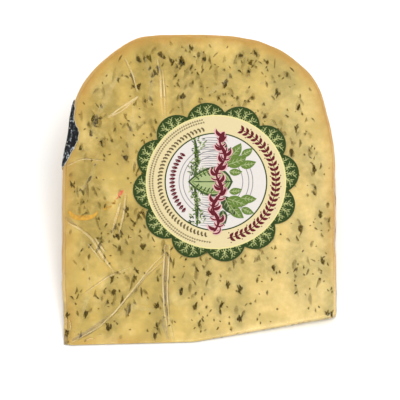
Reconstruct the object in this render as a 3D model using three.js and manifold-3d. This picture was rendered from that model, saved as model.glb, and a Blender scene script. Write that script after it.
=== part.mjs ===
// A retail wedge of Gouda-type cheese with herbs, cut from a small round wheel, wrapped in clear
// film and labelled. Millimetres, +Z up. The wedge lies on its lower cut face.
//
// X runs across the wheel's thickness, from one flat side to the other.
// Y runs along the cut face, from the wheel's axis (-Y) out to the rim (+Y).
// The pieces are shaped about the wheel's axis, then the whole wedge is moved so that the middle
// of its underside is the origin.

import * as THREE from 'three';
import { mergeVertices } from 'three/addons/utils/BufferGeometryUtils.js';
import Module from 'manifold-3d';

const wasm = await Module();
wasm.setup();

// The wheel that the wedge was cut from.
const WHEEL_RADIUS = 124;
const WHEEL_HALF_THICKNESS = 51.8;
const SHOULDER_RADIUS = 62; // inside it the flat sides are flat, outside it they round off
const SHOULDER_POWER = 2.7; // of the superellipse that the rim follows
const SHOULDER_STEPS = 14; // on each side of the rim
const WHEEL_FACETS = 120; // round the whole wheel

// The wedge.
const WEDGE_ANGLE = THREE.MathUtils.degToRad(18);
// The tip was trimmed by two upright cuts. Each is a distance from the wheel's axis at X = 0 and
// a turn about Z.
const TIP_CUTS = [
  { distance: 2.3, turn: THREE.MathUtils.degToRad(1.7) },
  { distance: 2.6, turn: THREE.MathUtils.degToRad(10.1) },
];

// The layers. Each is how far a surface stands outside the wheel's own surface or cut face.
const GAP = 0.3; // between pieces that touch
const COAT_THICKNESS = 1;
const FILM_INSIDE = GAP;
const FILM_THICKNESS = 0.2;
const FILM_OUTSIDE = FILM_INSIDE + FILM_THICKNESS;
const LABEL_THICKNESS = 0.2;
const LABEL_INSIDE = FILM_OUTSIDE + GAP;
const LABEL_OUTSIDE = LABEL_INSIDE + LABEL_THICKNESS;

// The film's two side flaps fold under the wedge and stop short of each other.
const FLAP_SLOT_WIDTH = 1.6;
const FLAP_SLOT_LENGTH = 96;
const FLAP_SLOT_MIDDLE = 60; // from the wheel's axis

// The round label, on the upper cut face.
const LABEL_ACROSS = 6.5; // its middle, along X
const LABEL_FROM_AXIS = 64.8; // its middle, along the cut face
const LABEL_TIP_RADIUS = 31.7;
const LABEL_NOTCH_RADIUS = 27.8;
const LABEL_SCALLOPS = 12;
const LABEL_TURN = THREE.MathUtils.degToRad(8);

// The oval sticker, half on the left flat side and half lapped over the upper cut edge.
const STICKER_HALF_LENGTH = 15.7;
const STICKER_HALF_WIDTH = 10.4; // seen square to the folded edge
const STICKER_BELOW_EDGE = 5.1; // its middle, seen square to the folded edge
const STICKER_FROM_AXIS = 82;
const STICKER_REACH = 18; // either way from the folded edge, square to the oval

// The crescent of coating dragged into the upper cut face by the knife.
const PARING_ACROSS = -43.4; // the middle of its curve
const PARING_FROM_AXIS = 56.3;
const PARING_RADIUS = 6;
const PARING_WIDTH = 1.8;
const PARING_HALF_SWEEP = THREE.MathUtils.degToRad(57);
const PARING_THICKNESS = 0.5;

const BEYOND = 400; // longer than anything here, for cutting blocks

/** A three.js geometry as a solid that can be joined and cut. */
function toSolid(geometry) {
  const bare = geometry.clone();
  bare.deleteAttribute('normal');
  bare.deleteAttribute('uv');
  const merged = mergeVertices(bare, 1e-4);
  const corners = merged.index.array;
  const triangles = [];
  for (let i = 0; i < corners.length; i += 3) {
    const [a, b, c] = corners.slice(i, i + 3);
    if (a !== b && b !== c && c !== a) {
      triangles.push(a, b, c);
    }
  }
  return new wasm.Manifold(new wasm.Mesh({
    numProp: 3,
    vertProperties: new Float32Array(merged.attributes.position.array),
    triVerts: new Uint32Array(triangles),
  }));
}

/** A finished solid as a named mesh with its own material. */
function toMesh(name, solid, look) {
  const cut = solid.getMesh();
  const geometry = new THREE.BufferGeometry();
  geometry.setAttribute('position', new THREE.BufferAttribute(cut.vertProperties, 3));
  geometry.setIndex(new THREE.BufferAttribute(cut.triVerts, 1));
  geometry.computeVertexNormals();
  const mesh = new THREE.Mesh(geometry, new THREE.MeshStandardMaterial(look));
  mesh.name = name;
  return mesh;
}

/** The whole wheel lying along X, with its surface moved out by `growth`. */
function wheel(growth) {
  const halfThickness = WHEEL_HALF_THICKNESS + growth;
  const roundDepth = WHEEL_RADIUS - SHOULDER_RADIUS + growth;
  const profile = [new THREE.Vector2(0, -halfThickness)];
  for (let i = -SHOULDER_STEPS; i <= SHOULDER_STEPS; i += 1) {
    const angle = (i / SHOULDER_STEPS) * (Math.PI / 2);
    const across = Math.sign(i) * Math.abs(Math.sin(angle)) ** (2 / SHOULDER_POWER);
    const outward = Math.abs(Math.cos(angle)) ** (2 / SHOULDER_POWER);
    profile.push(new THREE.Vector2(SHOULDER_RADIUS + outward * roundDepth, across * halfThickness));
  }
  profile.push(new THREE.Vector2(0, halfThickness));
  const geometry = new THREE.LatheGeometry(profile, WHEEL_FACETS);
  geometry.rotateZ(-Math.PI / 2);
  return toSolid(geometry);
}

/** A block that fills everything above the plane Z = `height`, before it is turned. */
function blockAbove(height) {
  const block = new THREE.BoxGeometry(BEYOND, BEYOND, BEYOND);
  return block.translate(0, 0, height + BEYOND / 2);
}

/** The wedge cut from the wheel, with every surface moved out by `cutGrowth` or `wheelGrowth`. */
function wedge(wheelGrowth, cutGrowth) {
  const below = blockAbove(cutGrowth).rotateX(Math.PI);
  const above = blockAbove(cutGrowth).rotateX(WEDGE_ANGLE);
  let solid = wheel(wheelGrowth).subtract(toSolid(below)).subtract(toSolid(above));
  for (const { distance, turn } of TIP_CUTS) {
    const outward = cutGrowth - distance * Math.cos(turn);
    const block = blockAbove(outward).rotateX(Math.PI / 2).rotateZ(turn);
    solid = solid.subtract(toSolid(block));
  }
  return solid;
}

/** The flat outline of the scalloped label, about its own middle. */
function scallopedOutline() {
  const step = (2 * Math.PI) / LABEL_SCALLOPS;
  const notchAcross = LABEL_NOTCH_RADIUS * Math.sin(step / 2);
  const notchOut = LABEL_NOTCH_RADIUS * Math.cos(step / 2);
  // Each scallop is an arc through two notches and the tip between them.
  const rise = LABEL_TIP_RADIUS - notchOut;
  const arcRadius = (notchAcross ** 2 + rise ** 2) / (2 * rise);
  const arcOut = LABEL_TIP_RADIUS - arcRadius;
  const halfSweep = Math.atan2(notchAcross, notchOut - arcOut);
  const outline = new THREE.Shape();
  for (let i = 0; i < LABEL_SCALLOPS; i += 1) {
    const turn = LABEL_TURN + i * step;
    const middle = [arcOut * Math.cos(turn), arcOut * Math.sin(turn)];
    outline.absarc(...middle, arcRadius, turn - halfSweep, turn + halfSweep, false);
  }
  return outline;
}

/** The point at `radius` and `angle` from the middle of a flat shape. */
function polar(radius, angle) {
  return new THREE.Vector2(radius * Math.cos(angle), radius * Math.sin(angle));
}

/** The flat outline of a crescent that narrows to both ends. `margin` widens it all round. */
function crescentOutline(margin) {
  const sweep = PARING_HALF_SWEEP + margin / PARING_RADIUS;
  const steps = 12;
  const outer = [];
  const inner = [];
  for (let i = 0; i <= steps; i += 1) {
    const along = (2 * i) / steps - 1;
    const angle = along * sweep - Math.PI / 2;
    const half = (PARING_WIDTH / 2) * Math.sqrt(1 - 0.9 * along ** 2) + margin;
    outer.push(polar(PARING_RADIUS + half, angle));
    inner.push(polar(PARING_RADIUS - half, angle));
  }
  return new THREE.Shape([...outer, ...inner.reverse()]);
}

/** Moves a flat geometry on Z = 0 to the upper cut face, `lift` above it. */
function ontoCutFace(geometry, across, fromAxis, lift) {
  return geometry.translate(across, fromAxis, lift).rotateX(WEDGE_ANGLE);
}

/** The cheese itself, one solid, with the pocket where the paring is pressed in. */
function cheesePaste() {
  const pocket = new THREE.ExtrudeGeometry(crescentOutline(GAP), {
    depth: BEYOND,
    bevelEnabled: false,
    curveSegments: 1,
  });
  ontoCutFace(pocket, PARING_ACROSS, PARING_FROM_AXIS, -PARING_THICKNESS - GAP);
  return wedge(-COAT_THICKNESS - GAP, 0).subtract(toSolid(pocket));
}

/** The brushed-on coating of the wheel: rim and both flat sides, open at the cut faces. */
function rindCoat() {
  return wedge(0, 0).subtract(wedge(-COAT_THICKNESS, BEYOND / 20));
}

/** The clear film, a thin shell round the whole wedge, open where its flaps don't meet. */
function filmWrap() {
  const slot = new THREE.BoxGeometry(FLAP_SLOT_WIDTH, FLAP_SLOT_LENGTH, 4 * FILM_OUTSIDE);
  slot.translate(0, FLAP_SLOT_MIDDLE, -FILM_OUTSIDE);
  return wedge(FILM_OUTSIDE, FILM_OUTSIDE)
    .subtract(wedge(FILM_INSIDE, FILM_INSIDE))
    .subtract(toSolid(slot));
}

/** The round paper label. */
function faceLabel() {
  const disc = new THREE.ExtrudeGeometry(scallopedOutline(), {
    depth: LABEL_THICKNESS,
    bevelEnabled: false,
    curveSegments: 8,
  });
  return toSolid(ontoCutFace(disc, LABEL_ACROSS, LABEL_FROM_AXIS, LABEL_INSIDE));
}

/** The oval sticker, bent over the edge between the left flat side and the upper cut face. */
function sideLabel() {
  const oval = new THREE.Shape();
  oval.absellipse(0, 0, STICKER_HALF_LENGTH, STICKER_HALF_WIDTH, 0, 2 * Math.PI, false, 0);
  const column = new THREE.ExtrudeGeometry(oval, {
    depth: 2 * STICKER_REACH,
    bevelEnabled: false,
    curveSegments: 40,
  });
  column.translate(0, STICKER_BELOW_EDGE, -STICKER_REACH);
  // The column's length now turns to point up and to the left, square to the folded edge.
  column.rotateZ(Math.PI / 2);
  column.rotateY(-Math.PI / 4);
  column.translate(-WHEEL_HALF_THICKNESS, STICKER_FROM_AXIS, 0);
  column.rotateX(WEDGE_ANGLE);
  return wedge(LABEL_OUTSIDE, LABEL_OUTSIDE)
    .subtract(wedge(LABEL_INSIDE, LABEL_INSIDE))
    .intersect(toSolid(column));
}

/** The crescent of coating, flush with the cut face. */
function coatParing() {
  const crescent = new THREE.ExtrudeGeometry(crescentOutline(0), {
    depth: PARING_THICKNESS,
    bevelEnabled: false,
    curveSegments: 1,
  });
  return toSolid(ontoCutFace(crescent, PARING_ACROSS, PARING_FROM_AXIS, -PARING_THICKNESS));
}

const film = toMesh('film_wrap', filmWrap(), {
  color: 0xf4f2ea,
  roughness: 0.12,
  metalness: 0,
  transparent: true,
  opacity: 0.2,
});

const cheeseWedge = new THREE.Group();
cheeseWedge.add(
  toMesh('cheese_paste', cheesePaste(), { color: 0xd8bd76, roughness: 0.5, metalness: 0 }),
  toMesh('rind_coat', rindCoat(), { color: 0xd6a04a, roughness: 0.35, metalness: 0 }),
  film,
  toMesh('face_label', faceLabel(), { color: 0xf0e2b8, roughness: 0.55, metalness: 0 }),
  toMesh('side_label', sideLabel(), { color: 0x1c2026, roughness: 0.4, metalness: 0 }),
  toMesh('coat_paring', coatParing(), { color: 0xd4a423, roughness: 0.4, metalness: 0 }),
);

// The origin is the middle of the underside of the whole wedge, labels included.
const whole = new THREE.Box3().setFromObject(cheeseWedge);
const middle = whole.getCenter(new THREE.Vector3());
cheeseWedge.position.set(-middle.x, -middle.y, -whole.min.z);

export default cheeseWedge;
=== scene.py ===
"""The looks of a wrapped wedge of herbed cheese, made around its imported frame.

The wedge lies on its lower cut face. Most shapes are drawn on the upper cut face, where a place is
(across, out): across runs along the wheel's thickness, and out runs from the wheel's axis to the
rim. A third number, lift, is the height over that face.
"""

import math
import random

import bmesh
import bpy
import numpy as np
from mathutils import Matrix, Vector, noise


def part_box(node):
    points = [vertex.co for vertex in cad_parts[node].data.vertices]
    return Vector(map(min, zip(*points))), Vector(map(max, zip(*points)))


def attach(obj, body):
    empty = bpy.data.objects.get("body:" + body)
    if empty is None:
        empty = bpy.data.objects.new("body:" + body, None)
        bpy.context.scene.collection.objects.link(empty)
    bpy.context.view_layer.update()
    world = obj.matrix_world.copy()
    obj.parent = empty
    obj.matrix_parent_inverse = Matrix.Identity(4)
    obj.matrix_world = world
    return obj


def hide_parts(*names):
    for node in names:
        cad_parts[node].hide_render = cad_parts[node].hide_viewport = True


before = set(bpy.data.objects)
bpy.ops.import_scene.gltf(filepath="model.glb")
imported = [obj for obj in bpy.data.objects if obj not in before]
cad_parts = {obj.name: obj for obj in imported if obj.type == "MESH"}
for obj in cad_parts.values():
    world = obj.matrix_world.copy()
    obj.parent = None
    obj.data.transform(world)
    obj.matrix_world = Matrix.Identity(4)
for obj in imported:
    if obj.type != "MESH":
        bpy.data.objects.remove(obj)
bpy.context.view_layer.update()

MM = 0.001

# ---------------------------------------------------------------------------
# The wheel and the wedge, as in the frame
# ---------------------------------------------------------------------------

WEDGE_ANGLE = math.radians(18)
WHEEL_RADIUS = 124 * MM
SHOULDER_RADIUS = 62 * MM
SHOULDER_POWER = 2.7
TIP_CUTS = [(2.3 * MM, math.radians(1.7)), (2.6 * MM, math.radians(10.1))]
COAT_THICKNESS = 1.0 * MM

COAT_LOW, COAT_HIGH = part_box("rind_coat")
HALF_THICKNESS = (COAT_HIGH.x - COAT_LOW.x) / 2
MIDDLE_X = (COAT_HIGH.x + COAT_LOW.x) / 2
AXIS_Y = COAT_HIGH.y - WHEEL_RADIUS
AXIS_Z = COAT_LOW.z

FACE_OUT = Vector((0, math.cos(WEDGE_ANGLE), math.sin(WEDGE_ANGLE)))
FACE_UP = Vector((0, -math.sin(WEDGE_ANGLE), math.cos(WEDGE_ANGLE)))
AXIS_POINT = Vector((MIDDLE_X, AXIS_Y, AXIS_Z))

# Heights over the upper cut face.
FLECK_LIFT = 0.05 * MM
FILM_LIFT = 0.2 * MM
FILM_SWELL = 0.06 * MM
FILM_GAUGE = 0.06 * MM
LABEL_LIFT = 0.34 * MM
PRINT_STEP = 0.012 * MM

LABEL_LOW, LABEL_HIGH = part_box("face_label")
LABEL_MIDDLE = (LABEL_LOW + LABEL_HIGH) / 2 - AXIS_POINT
LABEL_ACROSS = LABEL_MIDDLE.x
LABEL_OUT = LABEL_MIDDLE.dot(FACE_OUT)
LABEL_TIP_RADIUS = 31.7
LABEL_NOTCH_RADIUS = 27.8
LABEL_SCALLOPS = 12
LABEL_TURN = math.radians(8)


def on_face(across, out, lift=0.0):
    """The place on the upper cut face, in metres in the row frame."""
    return AXIS_POINT + Vector((across, 0, 0)) + FACE_OUT * out + FACE_UP * lift


def swell(across, out):
    """How far the film stands over its mean height at a place on the upper cut face."""
    place = Vector((across, out, 0)) / (15 * MM)
    fine = Vector((across, out * 0.5, 0.02)) / (6 * MM)
    slack = min(1.0, max(0.0, (5 * MM - across) / (40 * MM)))
    # The label stiffens the film that it is stuck to.
    from_label = math.hypot(across - LABEL_ACROSS, out - LABEL_OUT) - LABEL_TIP_RADIUS * MM
    slack *= min(1.0, max(0.0, from_label / (6 * MM)))
    return FILM_SWELL * (noise.noise(place) + 0.8 * slack * noise.noise(fine))


# ---------------------------------------------------------------------------
# Small tools for meshes, node trees and materials
# ---------------------------------------------------------------------------


def make_mesh(name, points, faces, smooth=True):
    """A mesh with its faces turned outwards."""
    mesh = bpy.data.meshes.new(name)
    mesh.from_pydata([tuple(p) for p in points], [], [tuple(int(i) for i in f) for f in faces])
    turned = bmesh.new()
    turned.from_mesh(mesh)
    bmesh.ops.recalc_face_normals(turned, faces=turned.faces)
    turned.to_mesh(mesh)
    turned.free()
    if smooth:
        mesh.shade_smooth()
    return mesh


def make_object(name, mesh, *materials):
    piece = bpy.data.objects.new(name, mesh)
    bpy.context.scene.collection.objects.link(piece)
    for material in materials:
        mesh.materials.append(material)
    return piece


def finish_piece(piece, slot, *nodes):
    """Puts the piece on the root body and hides the frame nodes that it stands for. Its `slot`, what it is
    made of, is not used.
    """
    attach(piece, "root")
    if nodes:
        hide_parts(*nodes)


def paint(mesh, name, values):
    """Stores one number for each point of the mesh, for its material to read."""
    layer = mesh.attributes.new(name, "FLOAT", "POINT")
    layer.data.foreach_set("value", np.asarray(values, np.float32))


def paint_vectors(mesh, name, values):
    layer = mesh.attributes.new(name, "FLOAT_VECTOR", "POINT")
    layer.data.foreach_set("vector", np.asarray(values, np.float32).ravel())


def add_node(tree, kind, inputs=None, **settings):
    """A node with its settings, and its inputs given as values or as sockets to link."""
    made = tree.nodes.new(kind)
    for key, value in settings.items():
        setattr(made, key, value)
    for key, value in (inputs or {}).items():
        if isinstance(value, bpy.types.NodeSocket):
            tree.links.new(value, made.inputs[key])
        else:
            made.inputs[key].default_value = value
    return made


def ink(red, green, blue):
    """A printer's or cook's colour of 0 to 255, as the linear colour that shaders take."""
    linear = []
    for level in (red, green, blue):
        share = level / 255
        linear.append(share / 12.92 if share <= 0.04045 else ((share + 0.055) / 1.055) ** 2.4)
    return (*linear, 1.0)


def new_material(name):
    material = bpy.data.materials.new(name)
    material.use_nodes = True
    return material, material.node_tree, material.node_tree.nodes["Principled BSDF"]


def object_place(tree):
    return add_node(tree, "ShaderNodeTexCoord").outputs["Object"]


def cloud(tree, place, scale, detail=3.0, stretch=None, roughness=0.55):
    """Soft noise with `scale` lumps in a metre, drawn out by `stretch`."""
    if stretch:
        place = add_node(tree, "ShaderNodeMapping", {"Vector": place, "Scale": stretch}).outputs[0]
    settings = {"Vector": place, "Scale": scale, "Detail": detail, "Roughness": roughness}
    return add_node(tree, "ShaderNodeTexNoise", settings).outputs["Fac"]


def span(tree, value, low, high, to_low=0.0, to_high=1.0):
    """The value with low to high drawn out to to_low to to_high, and held at both ends."""
    settings = {"Value": value, "From Min": low, "From Max": high, "To Min": to_low, "To Max": to_high}
    return add_node(tree, "ShaderNodeMapRange", settings).outputs[0]


def maths(tree, operation, first, second=0.0):
    return add_node(tree, "ShaderNodeMath", {0: first, 1: second}, operation=operation).outputs[0]


def blend(tree, share, first, second, way="MIX"):
    """Two colours mixed. Colours may be values or sockets."""
    mixed = add_node(tree, "ShaderNodeMix", data_type="RGBA", blend_type=way)
    for key, value in ((0, share), (6, first), (7, second)):
        if isinstance(value, bpy.types.NodeSocket):
            tree.links.new(value, mixed.inputs[key])
        else:
            mixed.inputs[key].default_value = value
    return mixed.outputs[2]


def painted(tree, name):
    return add_node(tree, "ShaderNodeAttribute", attribute_name=name).outputs["Fac"]


def bump(tree, shader, height, strength, distance):
    settings = {"Height": height, "Strength": strength, "Distance": distance}
    made = add_node(tree, "ShaderNodeBump", settings)
    tree.links.new(made.outputs[0], shader.inputs["Normal"])


# ---------------------------------------------------------------------------
# Small tools for geometry nodes
# ---------------------------------------------------------------------------


def new_tree(name, **sockets):
    """A geometry node tree with a Geometry input and output and one named input for each socket."""
    tree = bpy.data.node_groups.new(name, "GeometryNodeTree")
    tree.interface.new_socket("Geometry", in_out="INPUT", socket_type="NodeSocketGeometry")
    for key, kind in sockets.items():
        tree.interface.new_socket(key, in_out="INPUT", socket_type="NodeSocket" + kind)
    tree.interface.new_socket("Geometry", in_out="OUTPUT", socket_type="NodeSocketGeometry")
    return tree, tree.nodes.new("NodeGroupInput").outputs


def close_tree(tree, geometry):
    output = tree.nodes.new("NodeGroupOutput")
    tree.links.new(geometry, output.inputs[0])


def named(tree, name, kind):
    settings = {"Name": name}
    return add_node(tree, "GeometryNodeInputNamedAttribute", settings, data_type=kind).outputs[0]


def grown(base, tree, **values):
    """The plain mesh that the tree makes from the base mesh."""
    source = bpy.data.objects.new(tree.name + "_source", base)
    bpy.context.scene.collection.objects.link(source)
    modifier = source.modifiers.new(tree.name, "NODES")
    modifier.node_group = tree
    for item in tree.interface.items_tree:
        if item.in_out == "INPUT" and item.name in values:
            modifier[item.identifier] = values[item.name]
    evaluated = source.evaluated_get(bpy.context.evaluated_depsgraph_get())
    mesh = bpy.data.meshes.new_from_object(evaluated)
    source.modifiers.remove(modifier)
    bpy.data.objects.remove(source)
    return mesh


def strewing_tree():
    """Sets one of the shapes in a collection at each point, turned and sized as painted there."""
    tree, given = new_tree("strewing", Shapes="Collection", Finish="Material")
    shapes = add_node(
        tree,
        "GeometryNodeCollectionInfo",
        {"Collection": given["Shapes"], "Separate Children": True, "Reset Children": True},
    )
    strewn = add_node(
        tree,
        "GeometryNodeInstanceOnPoints",
        {
            "Points": given["Geometry"],
            "Instance": shapes.outputs[0],
            "Pick Instance": True,
            "Instance Index": named(tree, "shape", "INT"),
            "Rotation": named(tree, "turn", "FLOAT_VECTOR"),
            "Scale": named(tree, "size", "FLOAT_VECTOR"),
        },
    )
    real = add_node(tree, "GeometryNodeRealizeInstances", {0: strewn.outputs[0]})
    done = add_node(tree, "GeometryNodeSetMaterial", {0: real.outputs[0], "Material": given["Finish"]})
    close_tree(tree, done.outputs[0])
    return tree


def arc_tree():
    """Repeats a motif along an arc about the origin, each one turned outwards."""
    tree, given = new_tree("arc_row", Count="Int", Radius="Float", Start="Float", Step="Float")
    index = add_node(tree, "GeometryNodeInputIndex").outputs[0]
    angle = add_node(
        tree,
        "ShaderNodeMath",
        {0: index, 1: given["Step"], 2: given["Start"]},
        operation="MULTIPLY_ADD",
    ).outputs[0]
    cosine = maths(tree, "MULTIPLY", maths(tree, "COSINE", angle), given["Radius"])
    sine = maths(tree, "MULTIPLY", maths(tree, "SINE", angle), given["Radius"])
    place = add_node(tree, "ShaderNodeCombineXYZ", {0: cosine, 1: sine}).outputs[0]
    points = add_node(tree, "GeometryNodePoints", {"Count": given["Count"], "Position": place})
    turn = add_node(tree, "ShaderNodeCombineXYZ", {2: angle}).outputs[0]
    row = add_node(
        tree,
        "GeometryNodeInstanceOnPoints",
        {"Points": points.outputs[0], "Instance": given["Geometry"], "Rotation": turn},
    )
    real = add_node(tree, "GeometryNodeRealizeInstances", {0: row.outputs[0]})
    close_tree(tree, real.outputs[0])
    return tree


def fold_tree():
    """Sweeps a low tent along each line of a flat drawing, as wide as painted along it."""
    tree, given = new_tree("fold_sweep", Step="Float", Flatness="Float", Finish="Material")
    lines = add_node(tree, "GeometryNodeMeshToCurve", {0: given["Geometry"]})
    smooth = add_node(tree, "GeometryNodeCurveSplineType", {0: lines.outputs[0]})
    smooth.spline_type = "CATMULL_ROM"
    even = add_node(
        tree,
        "GeometryNodeResampleCurve",
        {0: smooth.outputs[0], "Length": given["Step"]},
        mode="LENGTH",
    )
    upright = add_node(tree, "GeometryNodeSetCurveNormal", {0: even.outputs[0]}, mode="Z_UP")
    roof = add_node(
        tree,
        "GeometryNodeCurveArc",
        {"Resolution": 7, "Radius": 0.5, "Start Angle": math.pi, "Sweep Angle": -math.pi},
    )
    # How near the ridge each side of the tent is, so that its finish can fade out sideways.
    factor = add_node(tree, "GeometryNodeSplineParameter").outputs[0]
    ridge = maths(tree, "SINE", maths(tree, "MULTIPLY", factor, math.pi))
    noted = add_node(
        tree,
        "GeometryNodeStoreNamedAttribute",
        {0: roof.outputs[0], "Name": "ridge", "Value": ridge},
        data_type="FLOAT",
    )
    flat = add_node(tree, "ShaderNodeCombineXYZ", {0: 1.0, 1: given["Flatness"], 2: 1.0}).outputs[0]
    squashed = add_node(tree, "GeometryNodeTransform", {0: noted.outputs[0], "Scale": flat})
    swept = add_node(
        tree,
        "GeometryNodeCurveToMesh",
        {
            "Curve": upright.outputs[0],
            "Profile Curve": squashed.outputs[0],
            "Scale": named(tree, "girth", "FLOAT"),
        },
    )
    real = add_node(tree, "GeometryNodeRealizeInstances", {0: swept.outputs[0]})
    done = add_node(tree, "GeometryNodeSetMaterial", {0: real.outputs[0], "Material": given["Finish"]})
    close_tree(tree, done.outputs[0])
    return tree


# ---------------------------------------------------------------------------
# The outline of the cut faces, and the skin of the whole wedge
# ---------------------------------------------------------------------------

UNEVENNESS = 0.4 * MM
# Where the wheel's side is pressed in or swells out, across and out: its reach and its depth.
DENTS = [(-47.5, 84, 9, 1.3), (-52, 0, 22, 1.1), (45, 104, 9, -1.0), (-22, 122, 9, -1.1)]
TIP_UNDERCUT = 1.5 * MM
TIP_FADE = 12 * MM  # how far from the tip the sides' upright edges lean back to the wheel's


def tip_distance(across):
    """How far from the wheel's axis the tip was trimmed, in plan."""
    return max(distance + across * math.tan(turn) for distance, turn in TIP_CUTS)


def undercut(across):
    """How much further back the tip's foot stands than its top, most at its higher right end."""
    return TIP_UNDERCUT * min(1.0, max(0.0, across / HALF_THICKNESS))


def wheel_side(step):
    """The coated outline from the right tip corner over the rim to the left one, evenly spaced."""
    line = [(HALF_THICKNESS, tip_distance(HALF_THICKNESS)), (HALF_THICKNESS, SHOULDER_RADIUS)]
    turns = 400
    for i in range(1, turns):
        angle = math.pi * i / turns
        across = math.copysign(abs(math.cos(angle)) ** (2 / SHOULDER_POWER), math.cos(angle))
        out = math.sin(angle) ** (2 / SHOULDER_POWER)
        depth = WHEEL_RADIUS - SHOULDER_RADIUS
        line.append((across * HALF_THICKNESS, SHOULDER_RADIUS + out * depth))
    line.append((-HALF_THICKNESS, SHOULDER_RADIUS))
    line.append((-HALF_THICKNESS, tip_distance(-HALF_THICKNESS)))
    side = evenly(np.array(line), step)
    inward = inward_normals(side, False)
    # The wheel was pressed and turned by hand, so its sides are a little uneven.
    for i, (across, out) in enumerate(side):
        slow = noise.noise(Vector((across, out, 0)) / (17 * MM))
        quick = noise.noise(Vector((across, out, 0.03)) / (5 * MM))
        side[i] += inward[i] * UNEVENNESS * max(0.0, 0.4 + slow + 0.45 * quick)
        for x, y, reach, depth in DENTS:
            away = math.hypot(across - x * MM, out - y * MM) / (reach * MM)
            side[i] += inward[i] * depth * MM * math.exp(-(away**2))
    return side


def evenly(line, step):
    """A line's points again, spaced by about `step` along it."""
    run = np.concatenate([[0], np.cumsum(np.linalg.norm(np.diff(line, axis=0), axis=1))])
    places = np.linspace(0, run[-1], max(2, round(run[-1] / step) + 1))
    return np.stack([np.interp(places, run, line[:, k]) for k in range(line.shape[1])], axis=1)


def inward_normals(line, closed):
    """The unit normals to the left of a line, which is the inside of an outline drawn this way."""
    if closed:
        along = np.roll(line, -1, axis=0) - np.roll(line, 1, axis=0)
    else:
        along = np.gradient(line, axis=0)
    along /= np.linalg.norm(along, axis=1, keepdims=True)
    return np.stack([-along[:, 1], along[:, 0]], axis=1)


def closed_outline(inset, step):
    """The whole outline: tip edge, right side, rim and left side, `inset` inside the coated wall."""
    side = wheel_side(step)
    side = side + inward_normals(side, False) * inset
    for end in (0, -1):
        side[end, 1] = tip_distance(side[end, 0])
    tip_across = np.linspace(side[-1, 0], side[0, 0], round(2 * HALF_THICKNESS / step) + 1)[1:-1]
    tip = np.array([(x, tip_distance(x)) for x in tip_across])
    outline = np.concatenate([tip, side])
    for _ in range(2):
        outline = (np.roll(outline, 1, axis=0) + 2 * outline + np.roll(outline, -1, axis=0)) / 4
    return outline


def wall_places(outline, angle):
    """Where the wall crosses a cut at `angle` over the lower face, in the row frame."""
    # The tip's walls stand upright, and the wheel's turn about its axis.
    from_tip = outline[:, 1] - np.array([tip_distance(x) for x in outline[:, 0]])
    upright = np.clip(1 - from_tip / TIP_FADE, 0, 1)
    reach = outline[:, 1] * (1 + upright * (1 / math.cos(WEDGE_ANGLE) - 1))
    share = angle / WEDGE_ANGLE
    radius = outline[:, 1] + (reach - outline[:, 1]) * share**2
    radius += upright**2 * (1 - share) * np.array([undercut(x) for x in outline[:, 0]])
    return np.stack(
        [
            MIDDLE_X + outline[:, 0],
            AXIS_Y + radius * np.cos(angle),
            AXIS_Z + radius * np.sin(angle),
        ],
        axis=1,
    )


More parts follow.
